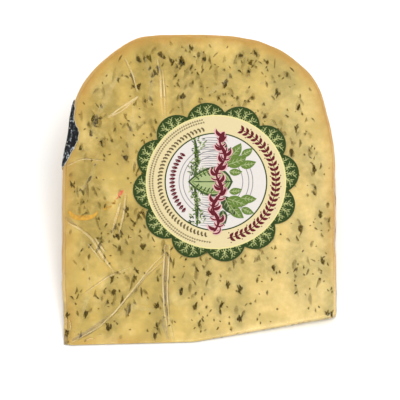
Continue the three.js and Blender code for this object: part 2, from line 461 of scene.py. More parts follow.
def wedge_skin(outline, rounding, rings, wall_rows, slot=None):
    """A closed skin of the wedge inside an outline, as points, faces and what is known of them.

    It runs in rows from the middle of the upper cut face, over the softened edge, down the wall
    and in to the middle of the lower face, or to the edge of a slot there.
    """
    count = len(outline)
    thickness = outline[:, 1] * WEDGE_ANGLE
    soft = np.minimum(rounding, 0.3 * thickness)
    quarter = [math.radians(a) for a in (0, 25, 50, 72)]
    rows = []
    edges = []
    sides = []

    def face_rows(angle, up, side):
        """The rows of one cut face, from its middle to where its edge starts to round."""
        rim = wall_places(outline, angle)
        flat = np.stack([rim[:, 0], np.linalg.norm(rim[:, 1:] - [AXIS_Y, AXIS_Z], axis=1)], axis=1)
        inward = inward_normals(flat, True)
        away = np.array([0, math.cos(float(np.mean(angle))), math.sin(float(np.mean(angle)))])
        centre = np.array([0.0, 0.5 * flat[:, 1].max()])

        def place(spots, drop):
            body = np.outer(spots[:, 1], away) + np.outer(spots[:, 0], [1, 0, 0])
            return body + np.array(AXIS_POINT) - np.outer(drop, up)

        inner = flat + inward * soft[:, None]
        if slot is not None and side < 0:
            hub = centre + slot_edge(inner - centre, *slot)
        else:
            hub = np.tile(centre, (count, 1))
        made = []
        start = 0 if (slot is not None and side < 0) else 1
        spokes = inner - hub
        reach = np.linalg.norm(spokes, axis=1)
        slant = np.abs((spokes * inward).sum(axis=1)) / reach
        near = [2.4 * MM, 1.5 * MM, 0.9 * MM, 0.4 * MM, 0.0]
        steps = [(1 - 3.4 * MM / reach) * k / rings for k in range(start, rings + 1)]
        for share in steps + [1 - inset / reach for inset in near]:
            spots = hub + spokes * share[:, None]
            made.append((place(spots, 0 * soft), reach * (1 - share) * slant))
        for turn in quarter[1:]:
            spots = flat + inward * (soft * (1 - math.sin(turn)))[:, None]
            made.append((place(spots, soft * (1 - math.cos(turn))), 0 * soft))
        for points, depth in made:
            rows.append(points)
            edges.append(depth)
            sides.append(np.full(count, side))
        return np.array(AXIS_POINT) + centre[1] * away, len(made)

    top_centre, top_rows = face_rows(np.full(count, WEDGE_ANGLE), np.array(FACE_UP), 1)
    for k in range(wall_rows + 1):
        share = k / wall_rows
        high = WEDGE_ANGLE - soft / outline[:, 1]
        low = soft / outline[:, 1]
        rows.append(wall_places(outline, high + (low - high) * share))
        edges.append(np.zeros(count))
        sides.append(np.full(count, 0))
    before = len(rows)
    low_centre, low_rows = face_rows(np.zeros(count), np.array([0, 0, -1.0]), -1)
    for part in (rows, edges, sides):
        part[before:] = part[before:][::-1]

    points = np.concatenate([*rows, [top_centre]])
    faces = []
    for p in range(len(rows) - 1):
        for i in range(count):
            j = (i + 1) % count
            faces.append((p * count + i, (p + 1) * count + i, (p + 1) * count + j, p * count + j))
    top = len(rows) * count
    faces += [(top, i, (i + 1) % count) for i in range(count)]
    edge = np.concatenate([*edges, [edges[0].max()]])
    side = np.concatenate([*sides, [1]])
    if slot is None:
        points = np.concatenate([points, [low_centre]])
        last = (len(rows) - 1) * count
        faces += [(last + i, top + 1, last + (i + 1) % count) for i in range(count)]
        edge = np.append(edge, edges[-1].max())
        side = np.append(side, -1)
    return {"points": points, "faces": faces, "edge": edge, "side": side, "top_rows": top_rows,
            "count": count, "rows": len(rows)}


def slot_edge(spokes, half_width, half_length):
    """The points on the rim of a long slot that lie towards each spoke."""
    lengths = np.linalg.norm(spokes, axis=1, keepdims=True)
    towards = spokes / lengths
    return np.stack([towards[:, 0] * half_width, towards[:, 1] * half_length], axis=1)


def face_places(points):
    """Across, out and lift of points in the row frame, as seen from the upper cut face."""
    away = points - np.array(AXIS_POINT)
    return np.stack([away[:, 0], away @ np.array(FACE_OUT), away @ np.array(FACE_UP)], axis=1)


# ---------------------------------------------------------------------------
# Finishes
# ---------------------------------------------------------------------------


def paste_finish():
    """Semi-hard paste: warm yellow, mottled, stained grey-green round the buried herbs."""
    material, tree, shader = new_material("herbed_cheese_paste")
    place = object_place(tree)
    broad = span(tree, cloud(tree, place, 42, 2), 0.38, 0.62)
    body = blend(tree, broad, ink(201, 174, 94), ink(226, 196, 117))
    lumps = span(tree, cloud(tree, place, 170, 2), 0.4, 0.64)
    body = blend(tree, maths(tree, "MULTIPLY", lumps, 0.55), body, ink(204, 170, 82))
    # Painted shade darkens the paste at its left side and painted light makes it paler towards the right,
    # as light falling from the right would.
    east, north = add_node(tree, "ShaderNodeSeparateXYZ", {0: place}).outputs[:2]
    painted_light_slope = maths(tree, "SUBTRACT", maths(tree, "MULTIPLY", east, 9.0), maths(tree, "MULTIPLY", north, 2.5))
    body = blend(tree, span(tree, painted_light_slope, -0.5, 0.05, 0.3, 0.0), body, ink(174, 144, 72))
    body = blend(tree, span(tree, painted_light_slope, 0.0, 0.55, 0.0, 0.6), body, ink(228, 206, 150))
    shade = span(tree, cloud(tree, place, 120, 3), 0.46, 0.66, 0.0, 0.5)
    body = blend(tree, shade, body, ink(164, 144, 76))
    curd = span(tree, cloud(tree, place, 520, 3), 0.38, 0.66)
    body = blend(tree, maths(tree, "MULTIPLY", curd, 0.35), body, ink(190, 162, 80))
    pale = span(tree, cloud(tree, place, 95, 3), 0.52, 0.68, 0.0, 0.55)
    body = blend(tree, pale, body, ink(234, 210, 140))
    stain = painted(tree, "stain")
    uneven = span(tree, cloud(tree, place, 480, 3), 0.3, 0.65, 0.6, 1.15)
    stain = maths(tree, "MULTIPLY", stain, uneven)
    # The stains' grey-green follows the same painted light slope, darker on the left.
    green = blend(tree, span(tree, painted_light_slope, -0.3, 0.4), ink(138, 118, 48), ink(156, 142, 86))
    body = blend(tree, span(tree, stain, 0.0, 1.0, 0.0, 0.68), body, green)
    rind = painted(tree, "rind")
    patchy = span(tree, cloud(tree, place, 160, 2), 0.35, 0.6, 0.55, 1.0)
    body = blend(tree, maths(tree, "MULTIPLY", rind, patchy), body, ink(176, 133, 56))
    # Painted highlight along the trimmed tip's edge.
    body = blend(tree, painted(tree, "bruise"), body, ink(230, 205, 148))
    tree.links.new(body, shader.inputs["Base Color"])
    tree.links.new(span(tree, curd, 0, 1, 0.42, 0.55), shader.inputs["Roughness"])
    shader.inputs["Subsurface Weight"].default_value = 0.3
    shader.inputs["Subsurface Radius"].default_value = (1.0, 0.6, 0.25)
    shader.inputs["Subsurface Scale"].default_value = 0.002
    shader.inputs["Specular IOR Level"].default_value = 0.2
    relief = maths(tree, "ADD", cloud(tree, place, 900, 3), cloud(tree, place, 140, 2))
    bump(tree, shader, relief, 0.25, 0.0003)
    return material


def herb_finish():
    """Chopped dried herb, from near black to a mossy brown, blurred by the paste over its edges."""
    material, tree, shader = new_material("chopped_herb")
    place = object_place(tree)
    leaf = blend(tree, painted(tree, "tone"), ink(48, 35, 2), ink(124, 100, 16))
    mossy = span(tree, cloud(tree, place, 130, 2), 0.5, 0.62, 0.0, 0.6)
    leaf = blend(tree, mossy, leaf, ink(88, 80, 6))
    vein = span(tree, cloud(tree, place, 2600, 2), 0.35, 0.7, 0.0, 0.5)
    leaf = blend(tree, vein, leaf, ink(82, 62, 4))
    sunk = painted(tree, "sunk")
    leaf = blend(tree, sunk, leaf, ink(128, 106, 36))
    tree.links.new(leaf, shader.inputs["Base Color"])
    shader.inputs["Roughness"].default_value = 0.6
    shader.inputs["Specular IOR Level"].default_value = 0.05
    ragged = span(tree, cloud(tree, place, 1000, 3), 0.25, 0.75, -0.26, 0.22)
    core = maths(tree, "ADD", painted(tree, "core"), ragged)
    solid = maths(tree, "MULTIPLY", span(tree, core, 0.05, 1.0), span(tree, sunk, 0.0, 1.0, 0.95, 0.3))
    see_through(tree, shader, solid)
    return material


def see_through(tree, shader, cover):
    """Lets the shader cover only a share of what is behind it."""
    clear = add_node(tree, "ShaderNodeBsdfTransparent")
    both = add_node(tree, "ShaderNodeMixShader", {0: cover, 1: clear.outputs[0], 2: shader.outputs[0]})
    tree.links.new(both.outputs[0], tree.nodes["Material Output"].inputs["Surface"])


def coat_finish():
    """The brushed-on rind coating: orange yellow, a little see-through, with a linen print."""
    material, tree, shader = new_material("brushed_rind_coating")
    place = object_place(tree)
    drift = span(tree, cloud(tree, place, 45, 3), 0.35, 0.65)
    body = blend(tree, drift, ink(170, 130, 50), ink(186, 144, 68))
    across, out = add_node(tree, "ShaderNodeSeparateXYZ", {0: place}).outputs[:2]
    body = blend(tree, span(tree, across, -0.046, -0.03, 0.6, 0.0), body, ink(186, 154, 94))
    brush = span(tree, cloud(tree, place, 260, 3, (2.6, 0.5, 1.0)), 0.4, 0.7)
    body = blend(tree, maths(tree, "MULTIPLY", brush, 0.35), body, ink(164, 112, 36))
    # Towards the tip the coating was wiped thin, so the paste shows through it.
    wiped = span(tree, out, AXIS_Y + 18 * MM, AXIS_Y + 34 * MM, 0.8, 0.0)
    body = blend(tree, wiped, body, ink(204, 176, 112))
    herbs = span(tree, cloud(tree, place, 300, 2, (1.4, 0.8, 0.8)), 0.62, 0.72, 0.0, 0.45)
    body = blend(tree, herbs, body, ink(146, 104, 42))
    # The left foot is crushed, and brown where it is.
    crushed = span(tree, out, AXIS_Y + 4 * MM, AXIS_Y + 24 * MM, 1.0, 0.0)
    crushed = maths(tree, "MULTIPLY", crushed, span(tree, across, -0.05, -0.03, 0.8, 0.0))
    crushed = maths(tree, "MULTIPLY", crushed, span(tree, cloud(tree, place, 330, 3), 0.4, 0.6))
    body = blend(tree, crushed, body, ink(104, 82, 36))
    tree.links.new(body, shader.inputs["Base Color"])
    shader.inputs["Roughness"].default_value = 0.34
    shader.inputs["Subsurface Weight"].default_value = 0.1
    shader.inputs["Subsurface Radius"].default_value = (1.0, 0.5, 0.15)
    shader.inputs["Subsurface Scale"].default_value = 0.002
    warp = add_node(
        tree,
        "ShaderNodeTexWave",
        {"Vector": place, "Scale": 420.0, "Distortion": 1.2},
        bands_direction="X",
    )
    weft = add_node(
        tree,
        "ShaderNodeTexWave",
        {"Vector": place, "Scale": 420.0, "Distortion": 1.2},
        bands_direction="Z",
    )
    linen = maths(tree, "MULTIPLY", warp.outputs["Fac"], weft.outputs["Fac"])
    relief = maths(tree, "ADD", maths(tree, "MULTIPLY", linen, 0.35), cloud(tree, place, 180, 3))
    bump(tree, shader, relief, 0.3, 0.0003)
    return material


def clear_finish(name, haze, head_on, on_walls, tint, roughness, streaks):
    """Clear plastic: it shines by how it is turned, and `haze` of it hides what is behind."""
    material, tree, shader = new_material(name)
    place = object_place(tree)
    facing = add_node(tree, "ShaderNodeLayerWeight", {"Blend": 0.5}).outputs["Facing"]
    rising = maths(tree, "POWER", facing, 5.0)
    least = span(tree, painted(tree, "wall"), 0.0, 1.0, head_on, on_walls)
    shine = maths(tree, "MAXIMUM", span(tree, rising, 0.0, 1.0, head_on, 0.25), least)
    crinkle = cloud(tree, place, 130, 3, streaks)
    milky = span(tree, crinkle, 0.42, 0.72, 0.0, haze)
    cover = maths(tree, "MAXIMUM", shine, milky)
    shader.inputs["Base Color"].default_value = tint
    shader.inputs["Roughness"].default_value = roughness
    shader.inputs["Metallic"].default_value = 1.0
    see_through(tree, shader, cover)
    return material, tree, shader, place


def film_finish():
    """The clear wrap, with fine tension wrinkles down the walls and over its slack side."""
    material, tree, shader, place = clear_finish(
        "clear_stretch_film", 0.035, 0.015, 0.05, ink(255, 252, 240), 0.12, (1.0, 0.3, 1.0)
    )
    wrap = add_node(tree, "ShaderNodeAttribute", attribute_name="wrap").outputs["Vector"]
    wrinkles = cloud(tree, wrap, 1.0, 3)
    slack = painted(tree, "slack")
    height = maths(tree, "MULTIPLY", wrinkles, slack)
    height = maths(tree, "ADD", height, maths(tree, "MULTIPLY", cloud(tree, place, 70, 2), 0.3))
    bump(tree, shader, height, 0.5, 0.0006)
    return material


def inside_finish():
    """The film's inner wall, which only lets light through."""
    material, tree, shader = new_material("clear_film_inside")
    see_through(tree, shader, 0.0)
    return material


def fold_finish(name, cover, tint):
    """A strip over the film in one tint, fading out sideways from its ridge: milky doubled film, painted
    highlight along a fold, or painted shade beside it.
    """
    material, tree, shader = new_material(name)
    place = object_place(tree)
    broken = span(tree, cloud(tree, place, 240, 3), 0.36, 0.6, 0.45 * cover, cover)
    broken = maths(tree, "MULTIPLY", broken, span(tree, painted(tree, "ridge"), 0.1, 0.75))
    shader.inputs["Base Color"].default_value = tint
    shader.inputs["Roughness"].default_value = 0.2
    shader.inputs["Specular IOR Level"].default_value = 0.8
    see_through(tree, shader, broken)
    return material


def print_finish(name, colour, worn, wear=0.25):
    """Printer's ink on coated paper: even, with a faint mottle and the paper's fibre."""
    material, tree, shader = new_material(name)
    place = object_place(tree)
    mottle = span(tree, cloud(tree, place, 1500, 3), 0.35, 0.7, 0.0, wear)
    tree.links.new(blend(tree, mottle, colour, worn), shader.inputs["Base Color"])
    shader.inputs["Roughness"].default_value = 0.5
    shader.inputs["Specular IOR Level"].default_value = 0.15
    bump(tree, shader, cloud(tree, place, 2400, 2), 0.12, 0.00005)
    return material


def sticker_finish():
    """Near-black ink with pale streaky specks through it."""
    material, tree, shader = new_material("rubbed_dark_sticker")
    place = object_place(tree)
    streaks = cloud(tree, place, 700, 4, (1.5, 0.8, 0.8), 0.75)
    pale_marks = span(tree, streaks, 0.555, 0.64)
    drift = span(tree, cloud(tree, place, 150, 2), 0.35, 0.65)
    body = blend(tree, drift, ink(4, 6, 8), ink(14, 17, 22))
    body = blend(tree, pale_marks, body, ink(178, 184, 188))
    tree.links.new(body, shader.inputs["Base Color"])
    shader.inputs["Roughness"].default_value = 0.5
    shader.inputs["Specular IOR Level"].default_value = 0.15
    bump(tree, shader, streaks, 0.3, 0.0001)
    return material


# ---------------------------------------------------------------------------
# The herbs: where each fleck lies
# ---------------------------------------------------------------------------

# Clumps that stand out on the upper cut face: across, out, size and how dark.
CLUMPS = [
    (-49.6, 5.2, 1.6, 1.1), (-49.4, 12.5, 1.2, 0.9), (-31, 43, 2.3, 1.0), (-33.7, 8.2, 2.6, 1.2), (15.3, 11.3, 2.6, 1.1), (-6.6, 21.7, 1.8, 1.0),
    (-27.3, 54, 1.8, 0.8), (-24.2, 26.8, 1.6, 0.8), (-33, 26.6, 1.4, 0.7), (-32, 21.3, 1.5, 0.8),
    (15.6, 22.8, 2.4, 0.9), (10.8, 24.4, 1.6, 0.8), (-1.4, 16, 1.6, 0.8), (3.7, 28.8, 1.6, 0.8),
    (46.9, 34, 2.0, 0.9), (8.3, 16.8, 1.5, 0.7), (50.3, 22, 1.8, 0.9), (-16, 16.7, 1.8, 0.8),
    (-47.7, 63.5, 2.0, 0.8), (-42.6, 12.5, 1.8, 0.7), (28, 31, 1.3, 0.8), (-16.3, 4.4, 1.8, 0.9),
    (-19, 114, 2.0, 0.7), (-16, 109.5, 3.2, 0.8), (-22.8, 103, 2.2, 0.8), (-6, 99, 1.8, 0.8),
    (20, 112, 2.0, 0.7), (30, 100, 2.2, 0.8), (37, 86, 2.0, 0.8), (44, 70, 2.2, 0.8),
    (50.0, 13.4, 1.5, 1.3), (48.2, 13.0, 1.2, 1.1), (-3, 118, 1.6, 0.7), (10, 104, 2.4, 0.8),
    (-40, 90, 1.8, 0.7), (-27.5, 75, 1.8, 0.9),
    (46, 52, 2.0, 0.8), (38.5, 46, 1.8, 0.8), (-21, 39.6, 1.6, 0.8), (-10, 113, 2.0, 0.7),
]
FLECKS_ON_FACE = 350
CRUMBS_ON_FACE = 240
SUNK_FLECKS_ON_FACE = 320
DEEP_STAINS_ON_FACE = 170


def inside_wedge(across, out, margin):
    """Whether a place lies on the paste, at least `margin` inside its outline."""
    half = HALF_THICKNESS - COAT_THICKNESS - margin
    if abs(across) >= half or out <= tip_distance(across) + margin:
        return False
    if out <= SHOULDER_RADIUS:
        return True
    depth = WHEEL_RADIUS - COAT_THICKNESS - margin - SHOULDER_RADIUS
    reach = (abs(across) / half) ** SHOULDER_POWER + ((out - SHOULDER_RADIUS) / depth) ** SHOULDER_POWER
    return reach < 1


def crowding(across, out):
    """How likely a fleck is to lie at a place, from 0 to 1: sparse on the left, in loose drifts."""
    leaning = 0.76 + 0.24 * min(1.0, max(0.0, (across + 40 * MM) / (50 * MM)))
    if out < 45 * MM and across > 0:
        leaning *= 0.75
    drift = noise.noise(Vector((across / (9 * MM), out / (13 * MM), 3.1)))
    return leaning * min(1.0, max(0.12, 0.62 + 1.1 * drift))


def scatter_places(count, chance, rng, margin=1.2 * MM):
    """Random places on the paste's cut face, kept or dropped by how crowded it is there."""
    places = []
    while len(places) < count:
        across = rng.uniform(-HALF_THICKNESS, HALF_THICKNESS)
        out = rng.uniform(0, WHEEL_RADIUS)
        if inside_wedge(across, out, margin) and rng.random() < chance(across, out):
            places.append((across, out))
    return places


def lay_flecks(rng, clumps):
    """The flecks of one cut face: place, heading, length, width, tone, how sunk, and shape."""
    flecks = []
    for count, sunk in ((SUNK_FLECKS_ON_FACE, True), (FLECKS_ON_FACE, False)):
        for across, out in scatter_places(count, crowding, rng):
            length = min(5.0, max(1.2, rng.lognormvariate(0.82, 0.42))) * (1.5 if sunk else 1)
            width = rng.uniform(0.9, 1.8) * (1.7 if sunk else 1)
            tone = min(1.0, max(0.0, rng.gauss(0.5, 0.3)))
            deep = rng.uniform(0.55, 1.0) if sunk else max(0.05, rng.gauss(0.15, 0.2))
            if across > 0 and out < 60 * MM:
                tone, length = min(1.0, tone + 0.2), 0.85 * length
            # Towards the rim the herbs lie deeper and look broader.
            outer = min(1.0, max(0.0, (out - 60 * MM) / (25 * MM)))
            deep += 0.28 * outer
            width *= 1 + 0.2 * outer
            heading = rng.gauss(0.1, 0.6)
            end = (-0.5 * length * MM * math.sin(heading), 0.5 * length * MM * math.cos(heading))
            if all(inside_wedge(across + way * end[0], out + way * end[1], MM) for way in (-1, 1)):
                flecks.append((across, out, heading, length * MM, width * MM, tone, deep,
                               rng.randrange(4)))
    for across, out in scatter_places(CRUMBS_ON_FACE, crowding, rng):
        size = rng.uniform(0.8, 1.4) * MM
        flecks.append((across, out, rng.uniform(-3, 3), size * 1.2, size, rng.uniform(0.1, 1.0),
                       max(0.0, rng.gauss(0.1, 0.3)), 4))
    for across, out, size, dark in clumps:
        for _ in range(3 + round(size * 2)):
            turn = rng.uniform(0, 2 * math.pi)
            away = size * 0.5 * math.sqrt(rng.random())
            place = (
                (across + away * math.cos(turn) * 0.75) * MM,
                (out + away * math.sin(turn) * 1.25) * MM,
            )
            if not inside_wedge(*place, 0.7 * MM):
                continue
            tone = rng.uniform(0.05, 0.5) / max(dark, 0.5) ** 2
            flecks.append((*place, rng.gauss(0, 0.6), rng.uniform(1.4, 2.9) * MM,
                           rng.uniform(1.0, 1.6) * MM, tone, rng.uniform(0, 0.25), rng.randrange(5)))
    return flecks


def fleck_shapes():
    """The shapes that chopped herb takes, a unit long and a unit wide: low domes, few-sided."""
    shapes = bpy.data.collections.new("fleck_shapes")
    bends = [("0_bent", 0.4, 6), ("1_straight", 0.06, 6), ("2_hooked", 0.75, 6), ("3_kinked", -0.4, 6),
             ("4_crumb", 0.1, 4)]
    for name, bend, spine in bends:
        points, core = [], []
        for i in range(spine + 1):
            along = i / spine - 0.5
            drift = 1.2 * bend * (abs(along) if bend < 0 else along**2)
            half = 0.5 * max(0.1, 1 - (2 * abs(along)) ** 2.4) * (1.0 if i % 2 else 0.84)
            for aside, height, heart in ((-1, -0.6, 0), (-0.5, 0.5, 0.6), (0, 1, 1), (0.5, 0.5, 0.6),
                                         (1, -0.6, 0)):
                points.append((drift + aside * half, along, height))
                core.append(heart * math.sin(math.pi * (0.04 + 0.92 * i / spine)) ** 0.8)
        faces = []
        for i in range(spine):
            first = 5 * i
            faces += [(first + k, first + k + 1, first + k + 6, first + k + 5) for k in range(4)]
            faces.append((first + 4, first, first + 5, first + 9))
        last = 5 * spine
        faces += [(4, 3, 2, 1, 0), tuple(last + k for k in range(5))]
        mesh = make_mesh(name, points, faces)
        paint(mesh, "core", core)
        shapes.objects.link(bpy.data.objects.new(name, mesh))
    return shapes


def slab(outline, low, high):
    """A flat outline as a thin closed slab."""
    count = len(outline)
    points = [(x, y, low) for x, y in outline] + [(x, y, high) for x, y in outline]
    faces = [tuple(range(count - 1, -1, -1)), tuple(range(count, 2 * count))]
    for i in range(count):
        j = (i + 1) % count
        faces.append((i, j, count + j, count + i))
    return points, faces


def strew(name, flecks, to_row, turn_of, shapes, finish):
    """The flecks as one mesh, each lying on its cut face."""
    places = [to_row(f[0], f[1]) for f in flecks]
    base = make_mesh(name + "_points", places, [], False)
    paint_vectors(base, "turn", [turn_of(f[2]) for f in flecks])
    paint_vectors(base, "size", [(f[4], f[3], FLECK_LIFT) for f in flecks])
    paint(base, "tone", [f[5] for f in flecks])
    paint(base, "sunk", [min(1.0, f[6]) for f in flecks])
    layer = base.attributes.new("shape", "INT", "POINT")
    layer.data.foreach_set("value", np.array([f[7] for f in flecks], np.int32))
    return grown(base, strewing_tree(), Shapes=shapes, Finish=finish)


def stains_at(places, sources):
    """How stained the paste is at each place, from the herbs under it."""
    total = np.zeros(len(places))
    for across, out, spread, strength in sources:
        far = (places[:, 0] - across) ** 2 + (0.52 * (places[:, 1] - out)) ** 2
        total += strength * np.exp(-far / spread**2)
    return np.clip(total, 0, 1)


def stain_sources(flecks, clumps, rng):
    """What stains one cut face: its flecks a little, its clumps more, and herbs buried deeper."""
    sources = [(f[0], f[1], f[3] * 0.65, 0.27 * (1 - 0.5 * f[5])) for f in flecks if f[7] != 4]
    for across, out, size, dark in clumps:
        aside = rng.uniform(-0.6, 0.6) * size
        sources.append(((across + aside) * MM, (out + rng.uniform(0, 0.8) * size) * MM,
                        size * 1.5 * MM, 0.55 * dark))
    for across, out in scatter_places(DEEP_STAINS_ON_FACE, crowding, rng):
        fading = min(1.0, 0.45 + out / (90 * MM))
        sources.append((across, out, rng.uniform(1.6, 4.6) * MM, rng.uniform(0.2, 0.6) * fading))
    return sources


# ---------------------------------------------------------------------------
# Paste and herbs
# ---------------------------------------------------------------------------


def make_paste():
    """The cheese with its herbs, softened along its cut edges and a little uneven."""
    rng = random.Random(18)
    upper = lay_flecks(rng, CLUMPS)
    upper_stains = stain_sources(upper, CLUMPS, rng)
    low_clumps = [(x, y, rng.uniform(1.4, 2.6), 0.8) for x, y in
                  [(a / MM, b / MM) for a, b in scatter_places(24, crowding, rng, 3 * MM)]]
    lower = lay_flecks(rng, low_clumps)
    lower_stains = stain_sources(lower, low_clumps, rng)

    outline = closed_outline(COAT_THICKNESS, 1.0 * MM)
    skin = wedge_skin(outline, 0.25 * MM, 50, 14)
    mesh = make_mesh("herbed_paste", skin["points"], skin["faces"])
    places = face_places(skin["points"])
    side = skin["side"]
    stain = np.zeros(len(places))
    stain[side > 0] = stains_at(places[side > 0], upper_stains)
    flat = skin["points"] - np.array(AXIS_POINT)
    stain[side < 0] = stains_at(flat[side < 0], lower_stains)
    wall = side == 0
    stain[wall] = 0.5 * stains_at(flat[wall], lower_stains)
    paint(mesh, "stain", stain)
    # The paste is darker and firmer near the coating, most under the rim and least at the right foot.
    away = np.clip((flat[:, 1] - 16 * MM) / (22 * MM), 0, 1)
    left = np.clip((-10 * MM - places[:, 0]) / (20 * MM), 0, 0.85)
    rim = np.clip((places[:, 1] - 80 * MM) / (20 * MM), 0, 1)
    firm = np.exp(-((skin["edge"] / (2.6 * MM)) ** 2)) * np.maximum(away, left) * (0.62 + 0.28 * rim)
    paint(mesh, "rind", np.where(wall, away, firm))
    # A painted highlight along the trimmed tip's edge, most on its right half, where a rounded edge would
    # catch the light.
    from_tip = places[:, 1] - np.array([tip_distance(x) for x in places[:, 0]])
    pale_marks = np.exp(-((from_tip / (1.6 * MM)) ** 2)) * np.clip(places[:, 0] / (12 * MM), 0, 1)
    paint(mesh, "bruise", 0.4 * np.where(side > -1, pale_marks, 0))
    piece = make_object("herbed_paste", mesh, paste_finish())
    finish_piece(piece, "paste", "cheese_paste")

    shapes = fleck_shapes()
    finish = herb_finish()
    tilt = WEDGE_ANGLE
    top = strew("upper", upper, on_face, lambda h: (tilt, 0, h), shapes, finish)
    under = strew("lower", lower, lambda a, o: AXIS_POINT + Vector((a, o, 0)),
                  lambda h: (math.pi, 0, h), shapes, finish)
    tip = strew("tip", tip_flecks(rng), tip_place, lambda h: (math.pi / 2, h, 0), shapes, finish)
    for name, made in (("upper_herbs", top), ("lower_herbs", under), ("tip_herbs", tip)):
        finish_piece(make_object(name, made), "paste")


def tip_flecks(rng):
    """The flecks that the trimmed tip cuts through, on its higher right half."""
    flecks = []
    for _ in range(16):
        across = rng.uniform(4, 49) * MM
        share = rng.uniform(0.2, 0.8)
        height = share * tip_distance(across) * math.tan(WEDGE_ANGLE)
        flecks.append((across, height, rng.uniform(-1.4, 1.4), rng.uniform(0.9, 2.0) * MM,
                       rng.uniform(0.8, 1.2) * MM, rng.uniform(0.2, 0.9), 0.4, rng.randrange(5)))
    return flecks


def tip_place(across, height):
    share = height / (tip_distance(across) * math.tan(WEDGE_ANGLE))
    return AXIS_POINT + Vector((across, tip_distance(across) + (1 - share) * undercut(across), height))


# ---------------------------------------------------------------------------
# Coating
# ---------------------------------------------------------------------------


def make_coat():
    """The coating on the rim and both flat sides, open at the two cut faces and the tip."""
    outer = wheel_side(1.2 * MM)
    inward = inward_normals(outer, False)
    inner = outer + inward * COAT_THICKNESS * 1.2
    for line in (outer, inner):
        for end in (0, -1):
            line[end, 1] = tip_distance(line[end, 0]) + 0.25 * MM
    count = len(outer)
    soft = np.minimum(0.35 * MM, 0.3 * outer[:, 1] * WEDGE_ANGLE)
    wall_rows = 18
    loops = []
    for share in (0.0, 0.25, 0.6, 1.0):
        angle = WEDGE_ANGLE - share**2 * soft / outer[:, 1]
        line = outer + inward * (soft * (1 - share))[:, None]
        loops.append(wall_places(line, angle))
    for k in range(1, wall_rows):
        high = WEDGE_ANGLE - soft / outer[:, 1]
        low = soft / outer[:, 1]
        loops.append(wall_places(outer, high + (low - high) * k / wall_rows))
    for share in (1.0, 0.6, 0.25, 0.0):
        angle = share**2 * soft / outer[:, 1]
        line = outer + inward * (soft * (1 - share))[:, None]
        loops.append(wall_places(line, angle))
    for k in range(wall_rows, -1, -3):
        loops.append(wall_places(inner, np.full(count, WEDGE_ANGLE * (1 - k / wall_rows))))
    points = np.concatenate(loops)
    turns = len(loops)
    faces = []
    for p in range(turns):
        q = (p + 1) % turns
        for i in range(count - 1):
            faces.append((p * count + i, q * count + i, q * count + i + 1, p * count + i + 1))
    faces.append([p * count for p in range(turns)][::-1])
    faces.append([p * count + count - 1 for p in range(turns)])
    for i, place in enumerate(points):
        lump = noise.noise(Vector(place) / (11 * MM)) - 0.5
        toward = np.array([place[0] - MIDDLE_X, place[1] - AXIS_Y - 60 * MM, 0])
        points[i] = place + toward / np.linalg.norm(toward) * lump * 0.1 * MM
    mesh = make_mesh("brushed_coat", points, faces)
    mesh.set_sharp_from_angle(angle=math.radians(50))
    piece = make_object("brushed_coat", mesh, coat_finish())
    finish_piece(piece, "coat", "rind_coat")


# ---------------------------------------------------------------------------
# Film
# ---------------------------------------------------------------------------


def make_film():
    """The clear wrap: a thin shell round the wedge, open where its flaps stop short below."""
    outline = closed_outline(0.0, 1.5 * MM)
    skin = wedge_skin(outline, 0.7 * MM, 38, 22, slot=(0.7 * MM, 44 * MM))
    mesh = make_mesh("clear_film", skin["points"], skin["faces"])
    count = len(skin["points"])
    normals = np.zeros(count * 3, np.float32)
    mesh.vertex_normals.foreach_get("vector", normals)
    normals = normals.reshape(-1, 3)
    side = skin["side"]
    places = face_places(skin["points"])
    grow = np.full(count, FILM_LIFT)
    for i in np.nonzero(side > 0)[0]:
        fade = min(1.0, skin["edge"][i] / (3 * MM))
        grow[i] += fade * swell(places[i, 0], places[i, 1])
    around = np.arange(count) % skin["count"]
    for i in np.nonzero(side == 0)[0]:
        run = around[i] / skin["count"]
        pleat = noise.noise(Vector((run * 60, places[i, 2] / (30 * MM), 7.0)))
        grow[i] += 0.12 * MM * pleat
    points = skin["points"] + normals * grow[:, None]
    points[:, 2] = np.maximum(points[:, 2], 0.02 * MM)
    mesh.vertices.foreach_set("co", points.astype(np.float32).ravel())
    # Wrinkles run down the walls and along the face, so they are drawn out that way.
    run = around * 1.5
    height = -places[:, 2] / MM
    wrap = np.stack([run * 0.45, height * 0.05, np.zeros(count)], axis=1)
    on_top = np.stack([places[:, 0] / MM * 0.22, places[:, 1] / MM * 0.07, np.ones(count)], axis=1)
    wrap[side != 0] = on_top[side != 0]
    paint_vectors(mesh, "wrap", wrap)
    slack = np.clip((8 * MM - places[:, 0]) / (45 * MM), 0.12, 1.0)
    paint(mesh, "slack", np.where(side == 0, 1.6, slack))
    paint(mesh, "wall", side == 0)
    piece = make_object("clear_film", mesh, film_finish(), inside_finish())
    wall = piece.modifiers.new("gauge", "SOLIDIFY")
    wall.thickness = FILM_GAUGE
    wall.offset = -1
    wall.material_offset = 1
    finish_piece(piece, "film", "film_wrap")
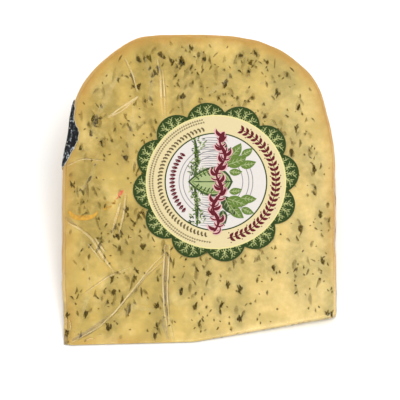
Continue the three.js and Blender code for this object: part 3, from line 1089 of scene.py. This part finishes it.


# Creases pressed into the film over the upper cut face. Each is a width, then the places that it
# runs through, across and out.
# The creases are drawn pale: partly the whitening of folded film and partly painted highlight. The short
# ones at the lower left and the one at 22.6 across are painted glints.
CREASES = [
    (0.75, [(-12.8, 40), (-13.5, 26), (-13.0, 14), (-11.2, 2.6)]),
    (0.6, [(-10.9, 40), (-11.9, 22), (-11.4, 12), (-9.6, 2.8)]),
    (0.4, [(-12.2, 16), (-12.1, 9), (-12.4, 2.6)]),
    (0.6, [(-12.6, 37), (-18.4, 30.8), (-25.2, 21.7), (-31.7, 13.4), (-37.3, 7.9), (-47.5, 1.8)]),
    (0.4, [(-13.6, 33.5), (-19.6, 28.2), (-26, 19.8)]),
    (1.1, [(-49.5, 48.6), (-44.9, 46.2), (-40.4, 42.4), (-36.6, 35.9), (-32, 29.2)]),
    (0.5, [(-42, 40.5), (-38.6, 36.4), (-36.4, 33)]),
    (0.9, [(-15.8, 113.8), (-14.6, 107), (-14.3, 99.1), (-13.9, 91)]),
    (0.6, [(-13.9, 109.5), (-13.0, 101), (-12.8, 91)]),
    (1.9, [(-34.3, 90.5), (-29, 94), (-23, 98.8)]),
    (0.7, [(-23.3, 100.5), (-24.9, 107), (-27.9, 114)]),
    (1.1, [(-29.6, 56.5), (-31.4, 50), (-32.8, 43.8)]),
    (0.8, [(-27.6, 60.5), (-28.4, 52), (-30.2, 44.2)]),
    (0.9, [(-39.2, 42.6), (-37.2, 39.6), (-35.4, 37.1)]),
    (0.5, [(22.6, 103.2), (24.2, 105.0), (25.0, 104.2)]),
    (0.45, [(-44, 20), (-34, 27.5), (-26, 31)]),
    (0.4, [(-50, 71), (-44, 74), (-35, 73)]),
    (0.5, [(-42.6, 2.4), (-40.4, 3.4), (-38.8, 2.8)]),
    (0.4, [(-38.2, 4.2), (-36.4, 4.8)]),
    (0.5, [(-48.8, 10.6), (-48.0, 8.0), (-48.6, 6.0)]),
    (0.4, [(-47.2, 6.4), (-46.2, 4.4)]),
]
GREY_FOLDS = [
    (2.2, [(-47.5, 2.6), (-41.5, 5.6), (-36.6, 9.6), (-34.2, 12.0)]),
    (1.6, [(-13.6, 12.0), (-12.6, 6.5), (-11.4, 3.0)]),
    (1.3, [(-12.0, 40), (-12.7, 26), (-12.2, 14)]),
    (1.6, [(-50.4, 51), (-48.5, 49.2), (-46.2, 47.6)]),
]
# Broad faint streaks of painted highlight over the film, where its soft reflections lie: a width, then the
# places each runs through, across and out.
FILM_HIGHLIGHT_STREAKS = [
    (2.6, [(-37.5, 92), (-34.5, 100), (-30.5, 107)]),
    (2.0, [(-41.5, 80), (-39.5, 88), (-37.5, 95)]),
    (3.0, [(-24.5, 70), (-26.0, 82), (-24.5, 95)]),
    (2.2, [(-18.5, 96), (-18.0, 106), (-20.5, 114)]),
    (2.2, [(-44, 12), (-41, 22), (-42, 34)]),
    (2.8, [(-30, 12), (-24, 16), (-17, 14)]),
    (2.4, [(4, 100), (9, 104), (15, 111)]),
    (2.0, [(-46, 60), (-41, 66), (-38, 76)]),
]
CREASE_STEP = 0.9 * MM
FOLD_LIFT = 0.05 * MM


def shaded_sides(folds):
    """A narrow line beside each fold, where the film turns away from the light."""
    lines = []
    for width, path in folds:
        if width > 1.8:
            continue
        line = evenly(np.array(path, float), 2.5)
        aside = line + inward_normals(line, False) * (0.5 * width + 0.16)
        lines.append((0.26 + 0.16 * width, aside))
    return lines


def over_face(across, out, lift):
    return on_face(across, out, FILM_LIFT + FOLD_LIFT + swell(across, out) + lift)


def over_wall(edge, inward):
    """A mapping on to the film down the walls: how far along the cut edge and how far below it."""
    run = np.concatenate([[0], np.cumsum(np.linalg.norm(np.diff(edge, axis=0), axis=1))])

    def place(along, below, lift):
        spot = np.array([np.interp(along, run, edge[:, k]) for k in (0, 1)])
        way = np.array([np.interp(along, run, inward[:, k]) for k in (0, 1)])
        spot = spot - way * (FILM_LIFT + 0.1 * MM + lift)
        angle = max(0.004, WEDGE_ANGLE - below / spot[1])
        return AXIS_POINT + Vector((spot[0], spot[1] * math.cos(angle), spot[1] * math.sin(angle)))

    return place, run[-1]


def wall_pleats(rng, length, edge):
    """Where the film gathers down the walls: fans of folds that close up towards the floor."""
    pleats = []
    gathers = [(rng.uniform(0.03, 0.97) * length / MM, rng.uniform(9, 22)) for _ in range(9)]
    for middle, spread in gathers:
        for k in range(rng.randrange(3, 6)):
            start = middle + spread * (rng.random() - 0.5)
            foot = middle + 0.3 * (start - middle) + rng.uniform(-1, 1)
            out = np.interp(start * MM, np.linspace(0, length, len(edge)), edge[:, 1]) / MM
            depth = out * WEDGE_ANGLE
            low = depth * rng.uniform(0.55, 0.94)
            top = depth * rng.choice((0.03, 0.06, 0.3))
            waist = (start + foot) / 2 + rng.uniform(-0.8, 0.8)
            pleats.append((rng.uniform(0.6, 1.9), [(start, top), (waist, (top + low) / 2), (foot, low)]))
    return [pleat for pleat in pleats if path_length(pleat[1]) > 5]


def fold_strips(name, folds, flatness, finish, place=over_face):
    """Folds as low tents over the film, narrowed to nothing at their ends."""
    points, edges, girths = [], [], []
    for width, path in folds:
        first = len(points)
        line = evenly(np.array(path, float), 2.5)
        for i, (across, out) in enumerate(line):
            share = i / (len(line) - 1)
            girths.append(width * MM * (0.15 + 0.85 * math.sin(math.pi * min(0.96, 0.04 + share)) ** 0.6))
            points.append((across * MM, out * MM, 0))
        edges += [(i, i + 1) for i in range(first, len(points) - 1)]
    drawing = bpy.data.meshes.new(name + "_lines")
    drawing.from_pydata(points, edges, [])
    paint(drawing, "girth", girths)
    mesh = grown(drawing, fold_tree(), Step=CREASE_STEP, Flatness=flatness, Finish=finish)
    for vertex in mesh.vertices:
        vertex.co = place(*vertex.co)
    mesh.shade_smooth()
    return make_object(name, mesh)


def make_creases():
    # Pale creases, partly painted highlight and glints.
    pale = fold_finish("pressed_film_crease", 0.5, ink(246, 222, 162))
    shaded = fold_finish("crease_shaded_side", 0.38, ink(126, 102, 54))
    grey = fold_finish("doubled_film_fold", 0.3, ink(134, 118, 102))
    finish_piece(fold_strips("film_creases", CREASES, 0.3, pale), "film")
    finish_piece(fold_strips("film_crease_shades", shaded_sides(CREASES), 0.1, shaded), "film")
    finish_piece(fold_strips("film_folds", GREY_FOLDS, 0.08, grey), "film")
    # The faint streaks are painted highlight on the film.
    faint = fold_finish("film_slack_streak", 0.12, ink(252, 232, 170))
    finish_piece(fold_strips("film_slack_streaks", FILM_HIGHLIGHT_STREAKS, 0.03, faint), "film")
    edge = wheel_side(0.8 * MM)
    place, length = over_wall(edge, inward_normals(edge, False))
    pleats = wall_pleats(random.Random(31), length, edge)
    # The wall pleats are drawn pale, partly gathered film and partly painted highlight; beside them runs
    # painted shade.
    sheen = fold_finish("film_pleat", 0.2, ink(255, 236, 204))
    finish_piece(fold_strips("film_pleats", pleats, 0.3, sheen, place), "film")
    dim = fold_finish("pleat_shaded_side", 0.2, ink(150, 110, 62))
    finish_piece(fold_strips("film_pleat_shades", shaded_sides(pleats), 0.1, dim, place), "film")


# ---------------------------------------------------------------------------
# Round label
# ---------------------------------------------------------------------------


class Sheet:
    """Flat art in millimetres about the label's middle, kept as one mesh in several inks."""

    def __init__(self):
        self.points = []
        self.faces = []
        self.inks = []

    def add(self, points, faces, ink_index):
        first = len(self.points)
        self.points += [tuple(p) for p in points]
        self.faces += [tuple(first + i for i in f) for f in faces]
        self.inks += [ink_index] * len(faces)

    def shape(self, outline, level, ink_index):
        """One small printed shape at a printing level."""
        self.add(*slab(outline, level - 1, level), ink_index)

    def disc(self, outline, level, ink_index, rings=10, hole=None):
        """A large printed area, ringed so that it can follow the film. `hole` is a share of it."""
        outline = np.array(outline)
        count = len(outline)
        start = hole or 0.04
        shares = np.linspace(start, 1, rings)
        loops = [(outline * s, level) for s in shares] + [(outline * s, level - 1) for s in shares[::-1]]
        points = [(x, y, z) for line, z in loops for x, y in line]
        faces = []
        turns = len(loops)
        for p in range(turns if hole else turns - 1):
            q = (p + 1) % turns
            for i in range(count):
                j = (i + 1) % count
                faces.append((p * count + i, q * count + i, q * count + j, p * count + j))
        if not hole:
            faces.append(tuple(range(count)))
            faces.append(tuple(range((turns - 1) * count, turns * count))[::-1])
        self.add(points, faces, ink_index)

    def motif_row(self, motif, level, ink_index, count, radius, start, step):
        """A motif repeated along an arc. The motif is a list of outlines, with +X outwards."""
        points, faces = [], []
        for outline in motif:
            more_points, more_faces = slab(outline, level - 1, level)
            faces += [tuple(len(points) + i for i in f) for f in more_faces]
            points += more_points
        base = make_mesh("motif", points, faces, False)
        row = grown(base, arc_tree(), Count=count, Radius=radius, Start=start, Step=step)
        self.add([v.co for v in row.vertices], [p.vertices for p in row.polygons], ink_index)


def circle(radius, count=96):
    turns = [2 * math.pi * i / count for i in range(count)]
    return [(radius * math.cos(t), radius * math.sin(t)) for t in turns]


def scalloped(shrink=0.0):
    """The label's edge: arcs through its notches and tips."""
    step = 2 * math.pi / LABEL_SCALLOPS
    notch = LABEL_NOTCH_RADIUS - shrink
    tip = LABEL_TIP_RADIUS - shrink
    across, out = notch * math.sin(step / 2), notch * math.cos(step / 2)
    rise = tip - out
    arc_radius = (across**2 + rise**2) / (2 * rise)
    arc_out = tip - arc_radius
    sweep = math.atan2(across, out - arc_out)
    line = []
    parts = 12
    for k in range(LABEL_SCALLOPS):
        turn = LABEL_TURN + k * step
        for i in range(parts):
            angle = turn - sweep + 2 * sweep * i / parts
            line.append((arc_out * math.cos(turn) + arc_radius * math.cos(angle),
                         arc_out * math.sin(turn) + arc_radius * math.sin(angle)))
    return line


def stroke(path, widths):
    """A pen stroke along a path, as wide at each place as given, as a closed outline."""
    line = np.array(path, float)
    normals = inward_normals(line, False)
    half = np.array(widths, float)[:, None] / 2
    left = line + normals * half
    right = line - normals * half
    return [tuple(p) for p in right] + [tuple(p) for p in left[::-1]]


def tapered(path, width, steps=7):
    """A stroke through hand-set places, full in the middle and fine at both ends."""
    line = evenly(np.array(path, float), 1e-6 + path_length(path) / steps)
    shares = np.linspace(0, 1, len(line))
    return stroke(line, width * (0.12 + 0.88 * np.sin(np.pi * (0.06 + 0.9 * shares)) ** 0.7))


def path_length(path):
    return sum(math.dist(a, b) for a, b in zip(path, path[1:]))


def leaf(x, y, heading, length, width, curl=0.12, steps=9):
    """A pointed leaf from its stalk end."""
    line, widths = [], []
    for i in range(steps + 1):
        share = i / steps
        bend = heading + curl * (share - 0.5) * 2
        line.append((x + length * share * math.cos(bend), y + length * share * math.sin(bend)))
        widths.append(max(0.04, width * math.sin(math.pi * share**0.8) ** 0.85))
    return stroke(line, widths)


def scallop_vein():
    """A fan of fine veins with side twigs, as on a crinkled herb leaf, for one scallop."""
    motif = []
    rays = 11
    for k in range(rays):
        angle = math.radians(-88 + 176 * k / (rays - 1))
        reach = 7.1 if k % 2 == 0 else 6.4
        bend = 0.14 if k % 2 else -0.14
        path = []
        for i in range(7):
            share = 0.22 + 0.78 * i / 6
            turned = angle + bend * math.sin(share * 7)
            path.append((reach * share * math.cos(turned), reach * share * math.sin(turned)))
        motif.append(tapered(path, 0.24, 8))
        for along, size in ((2, 1.0), (3, 1.2), (4, 1.3), (5, 1.1)):
            for way in (-1, 1):
                root = path[along]
                twig = angle + way * 0.8
                end = (root[0] + size * math.cos(twig), root[1] + size * math.sin(twig))
                middle = ((root[0] + end[0]) / 2 + 0.16 * math.cos(angle),
                          (root[1] + end[1]) / 2 + 0.16 * math.sin(angle))
                motif.append(tapered([root, middle, end], 0.17, 3))
    return motif


def lozenge(half_out, half_across, x=0.0, y=0.0):
    return [(x - half_out, y), (x, y - half_across), (x + half_out, y), (x, y + half_across)]


def draw_border(sheet):
    """Scallops with their veins, the cream ring and the thin line inside it."""
    sheet.disc(scalloped(), 0, PAPER)
    sheet.disc(scalloped(0.04), 1, DARK_GREEN)
    whole = 2 * math.pi / LABEL_SCALLOPS
    sheet.motif_row(scallop_vein(), 2, VEIN_GREEN, LABEL_SCALLOPS, 23.9, LABEL_TURN, whole)
    sheet.disc(circle(26.6), 3, PALE_YELLOW)
    sheet.disc(circle(26.1), 4, CREAM)
    sheet.disc(circle(19.45), 5, DARK_GREEN)
    sheet.disc(circle(18.95), 6, LILAC)
    for radius in (14.1, 12.6, 10.3):
        sheet.disc(circle(radius), 7, GREY_LINE, 3, hole=1 - 0.3 / radius)


def draw_ring_ornament(sheet):
    """Ornament round the ring: a red garland on the right, fine brown rows on the left."""
    leafy = [
        leaf(0.05, -0.1, 0.68, 2.35, 1.15, 0.12),
        leaf(-0.05, -0.1, math.pi - 0.68, 2.35, 1.15, -0.12),
        tapered([(0, -1.3), (0.06, 0), (0, 1.3)], 0.42, 5),
    ]
    sheet.motif_row(leafy, 5, RED, 28, 22.7, math.radians(-76), math.radians(5.15))
    berry = [lozenge(0.3, 0.3, 1.95, 0.2), lozenge(0.3, 0.3, -1.95, 0.2)]
    sheet.motif_row(berry, 5, RED, 14, 22.7, math.radians(-77), math.radians(10.3))
    seed = [leaf(-1.05, 0, 0, 2.1, 0.78, 0.25), lozenge(0.32, 0.28, 0.5, 0.6)]
    sheet.motif_row(seed, 5, BROWN, 41, 21.3, math.radians(103), math.radians(3.9))
    for radius, start, step in ((24.0, 101, 2.3), (25.1, 102, 2.1)):
        grain = [lozenge(0.5, 0.24), lozenge(0.24, 0.18, -0.1, 0.42)]
        sheet.motif_row(grain, 5, BROWN, 72, radius, math.radians(start), math.radians(step))
    spray = [leaf(-1.25, 0, 0, 2.5, 0.85, 0.15), tapered([(-0.9, 0.3), (0.1, 0.75), (0.9, 0.5)], 0.34, 4)]
    sheet.motif_row(spray, 8, RED, 17, 16.6, math.radians(139), math.radians(5.2))


def draw_sprigs(sheet):
    """The middle: a hedge of fine twigs, leaves in two clusters, a broad leaf and a red flourish."""
    rng = random.Random(7)
    for way in (1, -1):
        for i in range(16):
            y = way * (3.4 + 0.92 * i)
            bank = [(-5.6 + rng.uniform(-0.4, 0.4), y), (-3, y + 0.3 * way),
                    (2.8 + rng.uniform(-1.5, 0.5), y + rng.uniform(-0.3, 0.3))]
            sheet.shape(tapered(bank, 0.26, 6), 8, GREY_LINE)
        stem = [(-7.6 - 0.5 * way, 17.4 * way), (-7.2, 11 * way), (-7.4, 6 * way), (-8.2, 1.6 * way)]
        sheet.shape(tapered(stem, 1.4, 12), 8, SHADOW_GREEN)
        for i in range(130):
            share = rng.random()
            x = -7.4 + rng.uniform(-3.0, 3.0) * (0.6 + 0.4 * math.sin(share * 9))
            y = way * (1.6 + 15.6 * share)
            turn = rng.uniform(0, math.pi)
            size = rng.uniform(0.8, 1.7)
            end = (x + size * math.cos(turn), y + size * math.sin(turn))
            middle = ((x + end[0]) / 2 + 0.2, (y + end[1]) / 2 + 0.15)
            tint = (SHADOW_GREEN, LEAF_GREEN, PALE_GREEN)[i % 3]
            sheet.shape(tapered([(x, y), middle, end], 0.42, 4), 9, tint)
        for k, (x, y, turn, size) in enumerate(LEAF_CLUSTER):
            draw_leaf(sheet, x, way * y, way * turn, size, LEAF_GREEN if k % 3 else SHADOW_GREEN, 9 + k % 2)
    draw_broad_leaf(sheet)
    draw_flourish(sheet)


def draw_leaf(sheet, x, y, heading, length, tint, level):
    """A leaf with a pale rim of light along its rib and side veins."""
    sheet.shape(leaf(x, y, heading, length, length * 0.56, 0.1), level, tint)
    rib = [(x, y), leaf_tip(x, y, heading, length * 0.5), leaf_tip(x, y, heading, length * 0.92)]
    sheet.shape(tapered(rib, 0.3, 5), level + 2, PALE_GREEN)
    for barb in (0.25, 0.45, 0.65):
        root = leaf_tip(x, y, heading, length * barb)
        for lean in (-0.8, 0.8):
            end = leaf_tip(*root, heading + lean, length * 0.25 * (1.2 - barb))
            sheet.shape(tapered([root, end], 0.22, 3), level + 2, PALE_GREEN)


# Leaves on the right of the middle, mirrored below: across, out, heading and length.
LEAF_CLUSTER = [
    (3.0, 5.6, 1.15, 8.6), (4.2, 6.6, 0.35, 8.2), (5.4, 9.6, 0.85, 7.0), (2.6, 11.2, 1.5, 5.6),
    (9.2, 6.4, 0.15, 6.2), (9.6, 10.4, 0.5, 5.2), (1.0, 15.0, 0.9, 3.4), (5.0, 4.0, -0.1, 5.0),
]


def leaf_tip(x, y, heading, length):
    return (x + length * math.cos(heading), y + length * math.sin(heading))


def draw_broad_leaf(sheet):
    """One broad leaf across the middle, pointing left, with a dark rim and a fine net of veins."""
    half = 5.9
    outline = leaf(6.4, 0, math.pi, 17.0, 2 * half, 0.0, 16)
    inner = leaf(5.6, 0, math.pi, 15.4, 2 * half - 1.9, 0.0, 16)
    sheet.shape(outline, 10, SHADOW_GREEN)
    sheet.shape(inner, 11, PALE_GREEN)
    sheet.shape(leaf(5.1, 0, math.pi, 14.4, 2 * half - 2.9, 0.0, 16), 12, LEAF_GREEN)
    sheet.shape(leaf(4.7, 0, math.pi, 13.6, 2 * half - 3.6, 0.0, 16), 12.5, PALE_GREEN)
    sheet.shape(tapered([(6.4, 0), (0, 0.1), (-8.6, 0)], 0.8, 10), 13, SHADOW_GREEN)
    for k in range(8):
        x = 4.4 - 1.45 * k
        reach = 4.6 * math.sin(math.pi * (0.12 + 0.1 * k))
        for way in (-1, 1):
            bend = [(x, 0), (x - 1.0, way * reach * 0.55), (x - 2.2, way * reach)]
            sheet.shape(tapered(bend, 0.5, 6), 13, SHADOW_GREEN)
            for along in (0.35, 0.65, 0.9):
                root = (x - 2.1 * along, way * reach * along)
                for lean in (0.5, 1.9):
                    end = (root[0] - 0.9 * math.cos(lean), root[1] + way * 0.9 * math.sin(lean) - 0.2)
                    sheet.shape(tapered([root, end], 0.24, 3), 13, LEAF_GREEN)


def draw_flourish(sheet):
    """A tall wavy vine in red, with curled tendrils and buds, over a pink shadow."""

    def vine(share):
        return (-2.0 * share + 1.2 + 1.35 * math.sin(share * 9.5), -19.8 * share)

    steps = 60
    line = [vine(2 * i / steps - 1) for i in range(steps + 1)]
    widths = [0.6 + 0.8 * abs(math.sin((2 * i / steps - 1) * 9.5 + 0.9)) for i in range(steps + 1)]
    widths[0] = widths[-1] = 0.15
    strokes = [stroke(line, widths)]
    shadows = [stroke(line, [w + 0.75 for w in widths])]
    turns = 15
    for k in range(turns):
        x, y = vine(2 * (k + 0.5) / turns - 1)
        way = 1 if k % 2 else -1
        heading = (0.35 if way > 0 else math.pi - 0.35) + 0.4 * math.sin(k)
        strokes.append(leaf(x, y, heading, 3.3, 1.35, 0.5 * way))
        shadows.append(leaf(x, y, heading, 3.8, 2.0, 0.5 * way))
        curl = []
        for i in range(9):
            bend = heading - way * (0.9 + 2.6 * i / 8)
            reach = 2.5 * (1 - 0.35 * i / 8)
            curl.append((x + reach * math.cos(bend) * 0.9, y + reach * math.sin(bend) * 0.9))
        strokes.append(tapered(curl, 0.6, 9))
        shadows.append(tapered(curl, 1.3, 9))
    for order, outline in enumerate(shadows):
        sheet.shape(outline, 14 + 0.1 * (order % 3), PINK)
    for order, outline in enumerate(strokes):
        sheet.shape(outline, 15 + 0.25 * (order % 3), RED)


INKS = [
    ("label_paper", (150, 146, 116), (120, 116, 92)),
    ("ink_dark_green", (34, 54, 6), (54, 76, 18)),
    ("ink_vein_green", (184, 188, 124), (144, 154, 86)),
    ("ink_pale_yellow", (214, 204, 140), (200, 188, 124)),
    ("ink_cream", (207, 192, 148), (197, 180, 134)),
    ("ink_lilac", (208, 202, 196), (192, 187, 182)),
    ("ink_grey_line", (126, 124, 126), (160, 156, 158)),
    ("ink_red", (84, 6, 22), (110, 26, 38)),
    ("ink_pink", (212, 158, 160), (216, 182, 180)),
    ("ink_brown", (88, 74, 46), (124, 108, 74)),
    ("ink_leaf_green", (88, 112, 42), (112, 132, 66)),
    ("ink_shadow_green", (46, 66, 28), (70, 90, 46)),
    ("ink_pale_green", (156, 168, 118), (132, 148, 92)),
]
(PAPER, DARK_GREEN, VEIN_GREEN, PALE_YELLOW, CREAM, LILAC, GREY_LINE, RED, PINK, BROWN,
 LEAF_GREEN, SHADOW_GREEN, PALE_GREEN) = range(len(INKS))


def make_label():
    """The scalloped label, laid on the film and following it."""
    sheet = Sheet()
    draw_border(sheet)
    draw_ring_ornament(sheet)
    draw_sprigs(sheet)
    points = []
    for x, y, level in sheet.points:
        across = LABEL_ACROSS + x * MM
        out = LABEL_OUT + y * MM
        # Every point follows the film's swell, raised by its printing level.
        points.append(on_face(across, out, LABEL_LIFT + swell(across, out) + level * PRINT_STEP))
    mesh = make_mesh("round_label", points, sheet.faces)
    mesh.set_sharp_from_angle(angle=math.radians(40))
    mesh.polygons.foreach_set("material_index", np.array(sheet.inks, np.int32))
    finishes = [print_finish(name, ink(*colour), ink(*worn)) for name, colour, worn in INKS]
    piece = make_object("round_label", mesh, *finishes)
    finish_piece(piece, "label", "face_label")


# ---------------------------------------------------------------------------
# Side sticker
# ---------------------------------------------------------------------------

# The sticker's width over the upper cut face, by how far out it is, and its reach down the side.
STICKER_LAPS = [(70.6, 0.0), (72.2, 1.0), (74.5, 1.8), (77.8, 2.8), (81.4, 3.7), (84.9, 3.9),
                (87.0, 2.6), (90.0, 1.4), (94.5, 0.9), (97.6, 0.0)]
STICKER_DROP = 15 * MM
STICKER_LIFT = 0.34 * MM


def left_edge(step):
    """The left part of the coated outline, from the rim down, as places and inward normals."""
    side = wheel_side(step)
    inward = inward_normals(side, False)
    keep = (side[:, 0] < 0) & (side[:, 1] < 112 * MM) & (side[:, 1] > 50 * MM)
    return side[keep], inward[keep]


def sticker_place(edge, inward, run, past, lift):
    """A place on the sticker: `run` along the cut edge and `past` it, down if below nought."""
    index = np.interp(run, edge[::-1, 1], np.arange(len(edge))[::-1])
    spot = np.array([np.interp(index, np.arange(len(edge)), edge[:, k]) for k in (0, 1)])
    way = np.array([np.interp(index, np.arange(len(edge)), inward[:, k]) for k in (0, 1)])
    if past >= 0:
        spot = spot + way * past
        return on_face(spot[0], spot[1], lift)
    angle = WEDGE_ANGLE + past / spot[1]
    out = np.array([-way[0], -way[1]])
    radius = spot[1] + out[1] * lift
    return AXIS_POINT + Vector((spot[0] + out[0] * lift, radius * math.cos(angle),
                                radius * math.sin(angle)))


def sticker_outline(margin, around):
    """The sticker's ragged outline, as how far out and how far past the cut edge, counter-clockwise."""
    outs, laps = np.array(STICKER_LAPS).T * MM
    middle, half = (outs[0] + outs[-1]) / 2, (outs[-1] - outs[0]) / 2 - margin
    outline = []
    for i in range(around):
        turn = 2 * math.pi * i / around
        run = middle + half * math.cos(turn)
        rise = math.sin(turn)
        torn = 1 + 0.03 * noise.noise(Vector((9 * math.cos(turn), 9 * math.sin(turn), 5.0)))
        if rise >= 0:
            nick = 0.35 * MM * noise.noise(Vector((run / (1.1 * MM), 0, 2.0)))
            past = max(0.0, np.interp(run, outs, laps) * torn + nick - margin)
        else:
            past = (STICKER_DROP * torn - margin) * rise
        outline.append((run, past))
    return np.array(outline)


def sticker_sheet(name, margin, lift, finish, edge, inward):
    """One layer of the sticker, bent over the edge, with a slightly torn outline."""
    around, rings = 120, 22
    outline = sticker_outline(margin, around)
    hub = np.array([outline[:, 0].mean(), -2.0 * MM])
    layers = []
    for height in (lift, lift - 0.06 * MM):
        layer = []
        for k in range(1, rings + 1):
            for run, past in hub + (outline - hub) * k / rings:
                # The bend over the edge is rounded, so the lift eases through it.
                eased = height + 0.1 * MM * math.exp(-((past / (0.8 * MM)) ** 2))
                layer.append(sticker_place(edge, inward, run, past, eased))
        layers.append(layer)
    points = layers[0] + layers[1]
    faces = []
    for k in range(rings - 1):
        for i in range(around):
            j = (i + 1) % around
            a, b = k * around, (k + 1) * around
            under = rings * around
            faces.append((a + i, b + i, b + j, a + j))
            faces.append((under + a + j, under + b + j, under + b + i, under + a + i))
    last = (rings - 1) * around
    for i in range(around):
        j = (i + 1) % around
        faces.append((last + i, rings * around + last + i, rings * around + last + j, last + j))
    faces.append(tuple(range(around)))
    faces.append(tuple(range(rings * around, rings * around + around))[::-1])
    mesh = make_mesh(name, points, faces)
    return make_object(name, mesh, finish)


def make_sticker():
    edge, inward = left_edge(0.8 * MM)
    paper = print_finish("sticker_paper_edge", ink(226, 224, 214), ink(190, 186, 176), 0.4)
    base = sticker_sheet("sticker_paper", 0.0, STICKER_LIFT, paper, edge, inward)
    top = sticker_sheet("sticker_print", 0.1 * MM, STICKER_LIFT + 0.05 * MM, sticker_finish(), edge,
                        inward)
    finish_piece(base, "sticker")
    finish_piece(top, "sticker", "side_label")


# ---------------------------------------------------------------------------
# Bits of coating dragged on to the cut face
# ---------------------------------------------------------------------------

PARING_MIDDLE = (-43.6, 56.2)
PARING_RADIUS = 5.9


def make_parings():
    """The crescent of coating, the golden crumbs past it and the red shred above them."""
    golden = smear_finish("dragged_coating", (204, 152, 0), (176, 126, 6))
    red = smear_finish("red_wax_shred", (190, 62, 34), (214, 120, 66))
    rng = random.Random(4)
    sheet = Sheet()
    line, widths = [], []
    for i in range(25):
        share = i / 24
        turn = math.radians(-90 + 61 * (2 * share - 1))
        wobble = 1 + 0.05 * math.sin(9 * share)
        line.append((PARING_MIDDLE[0] + PARING_RADIUS * wobble * math.cos(turn),
                     PARING_MIDDLE[1] + PARING_RADIUS * wobble * math.sin(turn)))
        widths.append(0.25 + 1.75 * math.sin(math.pi * min(1, 0.06 + share * 0.94)) ** 0.7)
    sheet.shape(stroke(line, widths), 1, 0)
    curl = make_bits("coat_curl", sheet, golden)
    finish_piece(curl, "paring", "coat_paring")

    crumbs = Sheet()
    for _ in range(16):
        x = rng.uniform(-36.5, -31)
        y = 54.2 + (x + 36.5) * 0.35 + rng.gauss(0, 0.7)
        turn = rng.uniform(0, math.pi)
        size = rng.uniform(0.5, 1.6)
        end = (x + size * math.cos(turn), y + size * math.sin(turn) * 0.6)
        crumbs.shape(tapered([(x, y), end], rng.uniform(0.3, 0.7), 4), 1, 0)
    finish_piece(make_bits("coat_crumbs", crumbs, golden), "paring")

    shred = Sheet()
    shred.shape(tapered([(-30.4, 59.2), (-29.6, 60.3), (-28.6, 61.6)], 1.3, 7), 1, 0)
    shred.shape(tapered([(-31.4, 58.0), (-30.4, 58.7), (-29.8, 59.9)], 0.5, 5), 2, 0)
    shred.shape(tapered([(-12.4, 22.9), (-11.7, 22.7)], 0.4, 4), 1, 0)
    shred.shape(tapered([(-10.9, 22.2), (-10.5, 22.8)], 0.3, 4), 1, 0)
    finish_piece(make_bits("red_shreds", shred, red), "paring")


def make_bits(name, sheet, finish):
    points = [on_face(x * MM, y * MM, 0.045 * level * MM + 0.02 * MM) for x, y, level in sheet.points]
    return make_object(name, make_mesh(name, points, sheet.faces, False), finish)


def smear_finish(name, colour, thin):
    material, tree, shader = new_material(name)
    place = object_place(tree)
    uneven = span(tree, cloud(tree, place, 700, 3), 0.35, 0.65)
    tree.links.new(blend(tree, uneven, ink(*colour), ink(*thin)), shader.inputs["Base Color"])
    shader.inputs["Roughness"].default_value = 0.4
    bump(tree, shader, uneven, 0.4, 0.0002)
    return material


# ---------------------------------------------------------------------------
# Studio
# ---------------------------------------------------------------------------

CAMERA_HEIGHT_ANGLE = math.radians(55)
CAMERA_DISTANCE = 2.2
SENSOR = 36.0
VIEW_WIDTH = 151.2 * MM  # what the camera's view spans at the face
VIEW_MIDDLE = (0.47 * MM, 57.7 * MM)


def make_camera():
    lens = bpy.data.cameras.new("camera")
    lens.sensor_width = SENSOR
    lens.lens = SENSOR * CAMERA_DISTANCE / VIEW_WIDTH
    lens.clip_end = 20
    camera = bpy.data.objects.new("camera", lens)
    away = Vector((0, -math.cos(CAMERA_HEIGHT_ANGLE), math.sin(CAMERA_HEIGHT_ANGLE)))
    camera.location = on_face(*VIEW_MIDDLE) + away * CAMERA_DISTANCE
    camera.rotation_euler = away.to_track_quat("Z", "Y").to_euler()
    bpy.context.scene.collection.objects.link(camera)
    bpy.context.scene.camera = camera


def make_light(name, place, size, power, warmth):
    light = bpy.data.lights.new(name, "AREA")
    light.shape = "DISK"
    light.size = size
    light.energy = power
    light.color = warmth
    lamp = bpy.data.objects.new(name, light)
    lamp.location = place
    lamp.rotation_euler = (Vector(place) - Vector((0, 0, 0.02))).to_track_quat("Z", "Y").to_euler()
    bpy.context.scene.collection.objects.link(lamp)


def make_studio():
    floor = make_object("floor", make_mesh("floor", *slab(circle(3.0, 64), -0.02, 0.0), False))
    material, tree, shader = new_material("white_floor")
    shader.inputs["Base Color"].default_value = (0.92, 0.92, 0.915, 1)
    shader.inputs["Roughness"].default_value = 0.9
    floor.data.materials.append(material)
    make_light("key", (0.2, -0.36, 0.8), 0.6, 3.0, (1.0, 0.985, 0.955))
    make_light("overhead", (0.36, 0.05, 0.7), 0.5, 1.5, (1.0, 1.0, 1.0))
    make_light("back", (-0.5, 1.3, 0.8), 1.0, 10, (1.0, 1.0, 1.0))
    world = bpy.data.worlds.new("studio")
    world.use_nodes = True
    world.node_tree.nodes["Background"].inputs["Color"].default_value = (1, 1, 1, 1)
    world.node_tree.nodes["Background"].inputs["Strength"].default_value = 0.8
    bpy.context.scene.world = world
    bpy.context.scene.view_settings.view_transform = "Standard"


make_camera()
make_studio()
make_paste()
make_coat()
make_film()
make_creases()
make_label()
make_sticker()
make_parings()

bpy.context.view_layer.update()
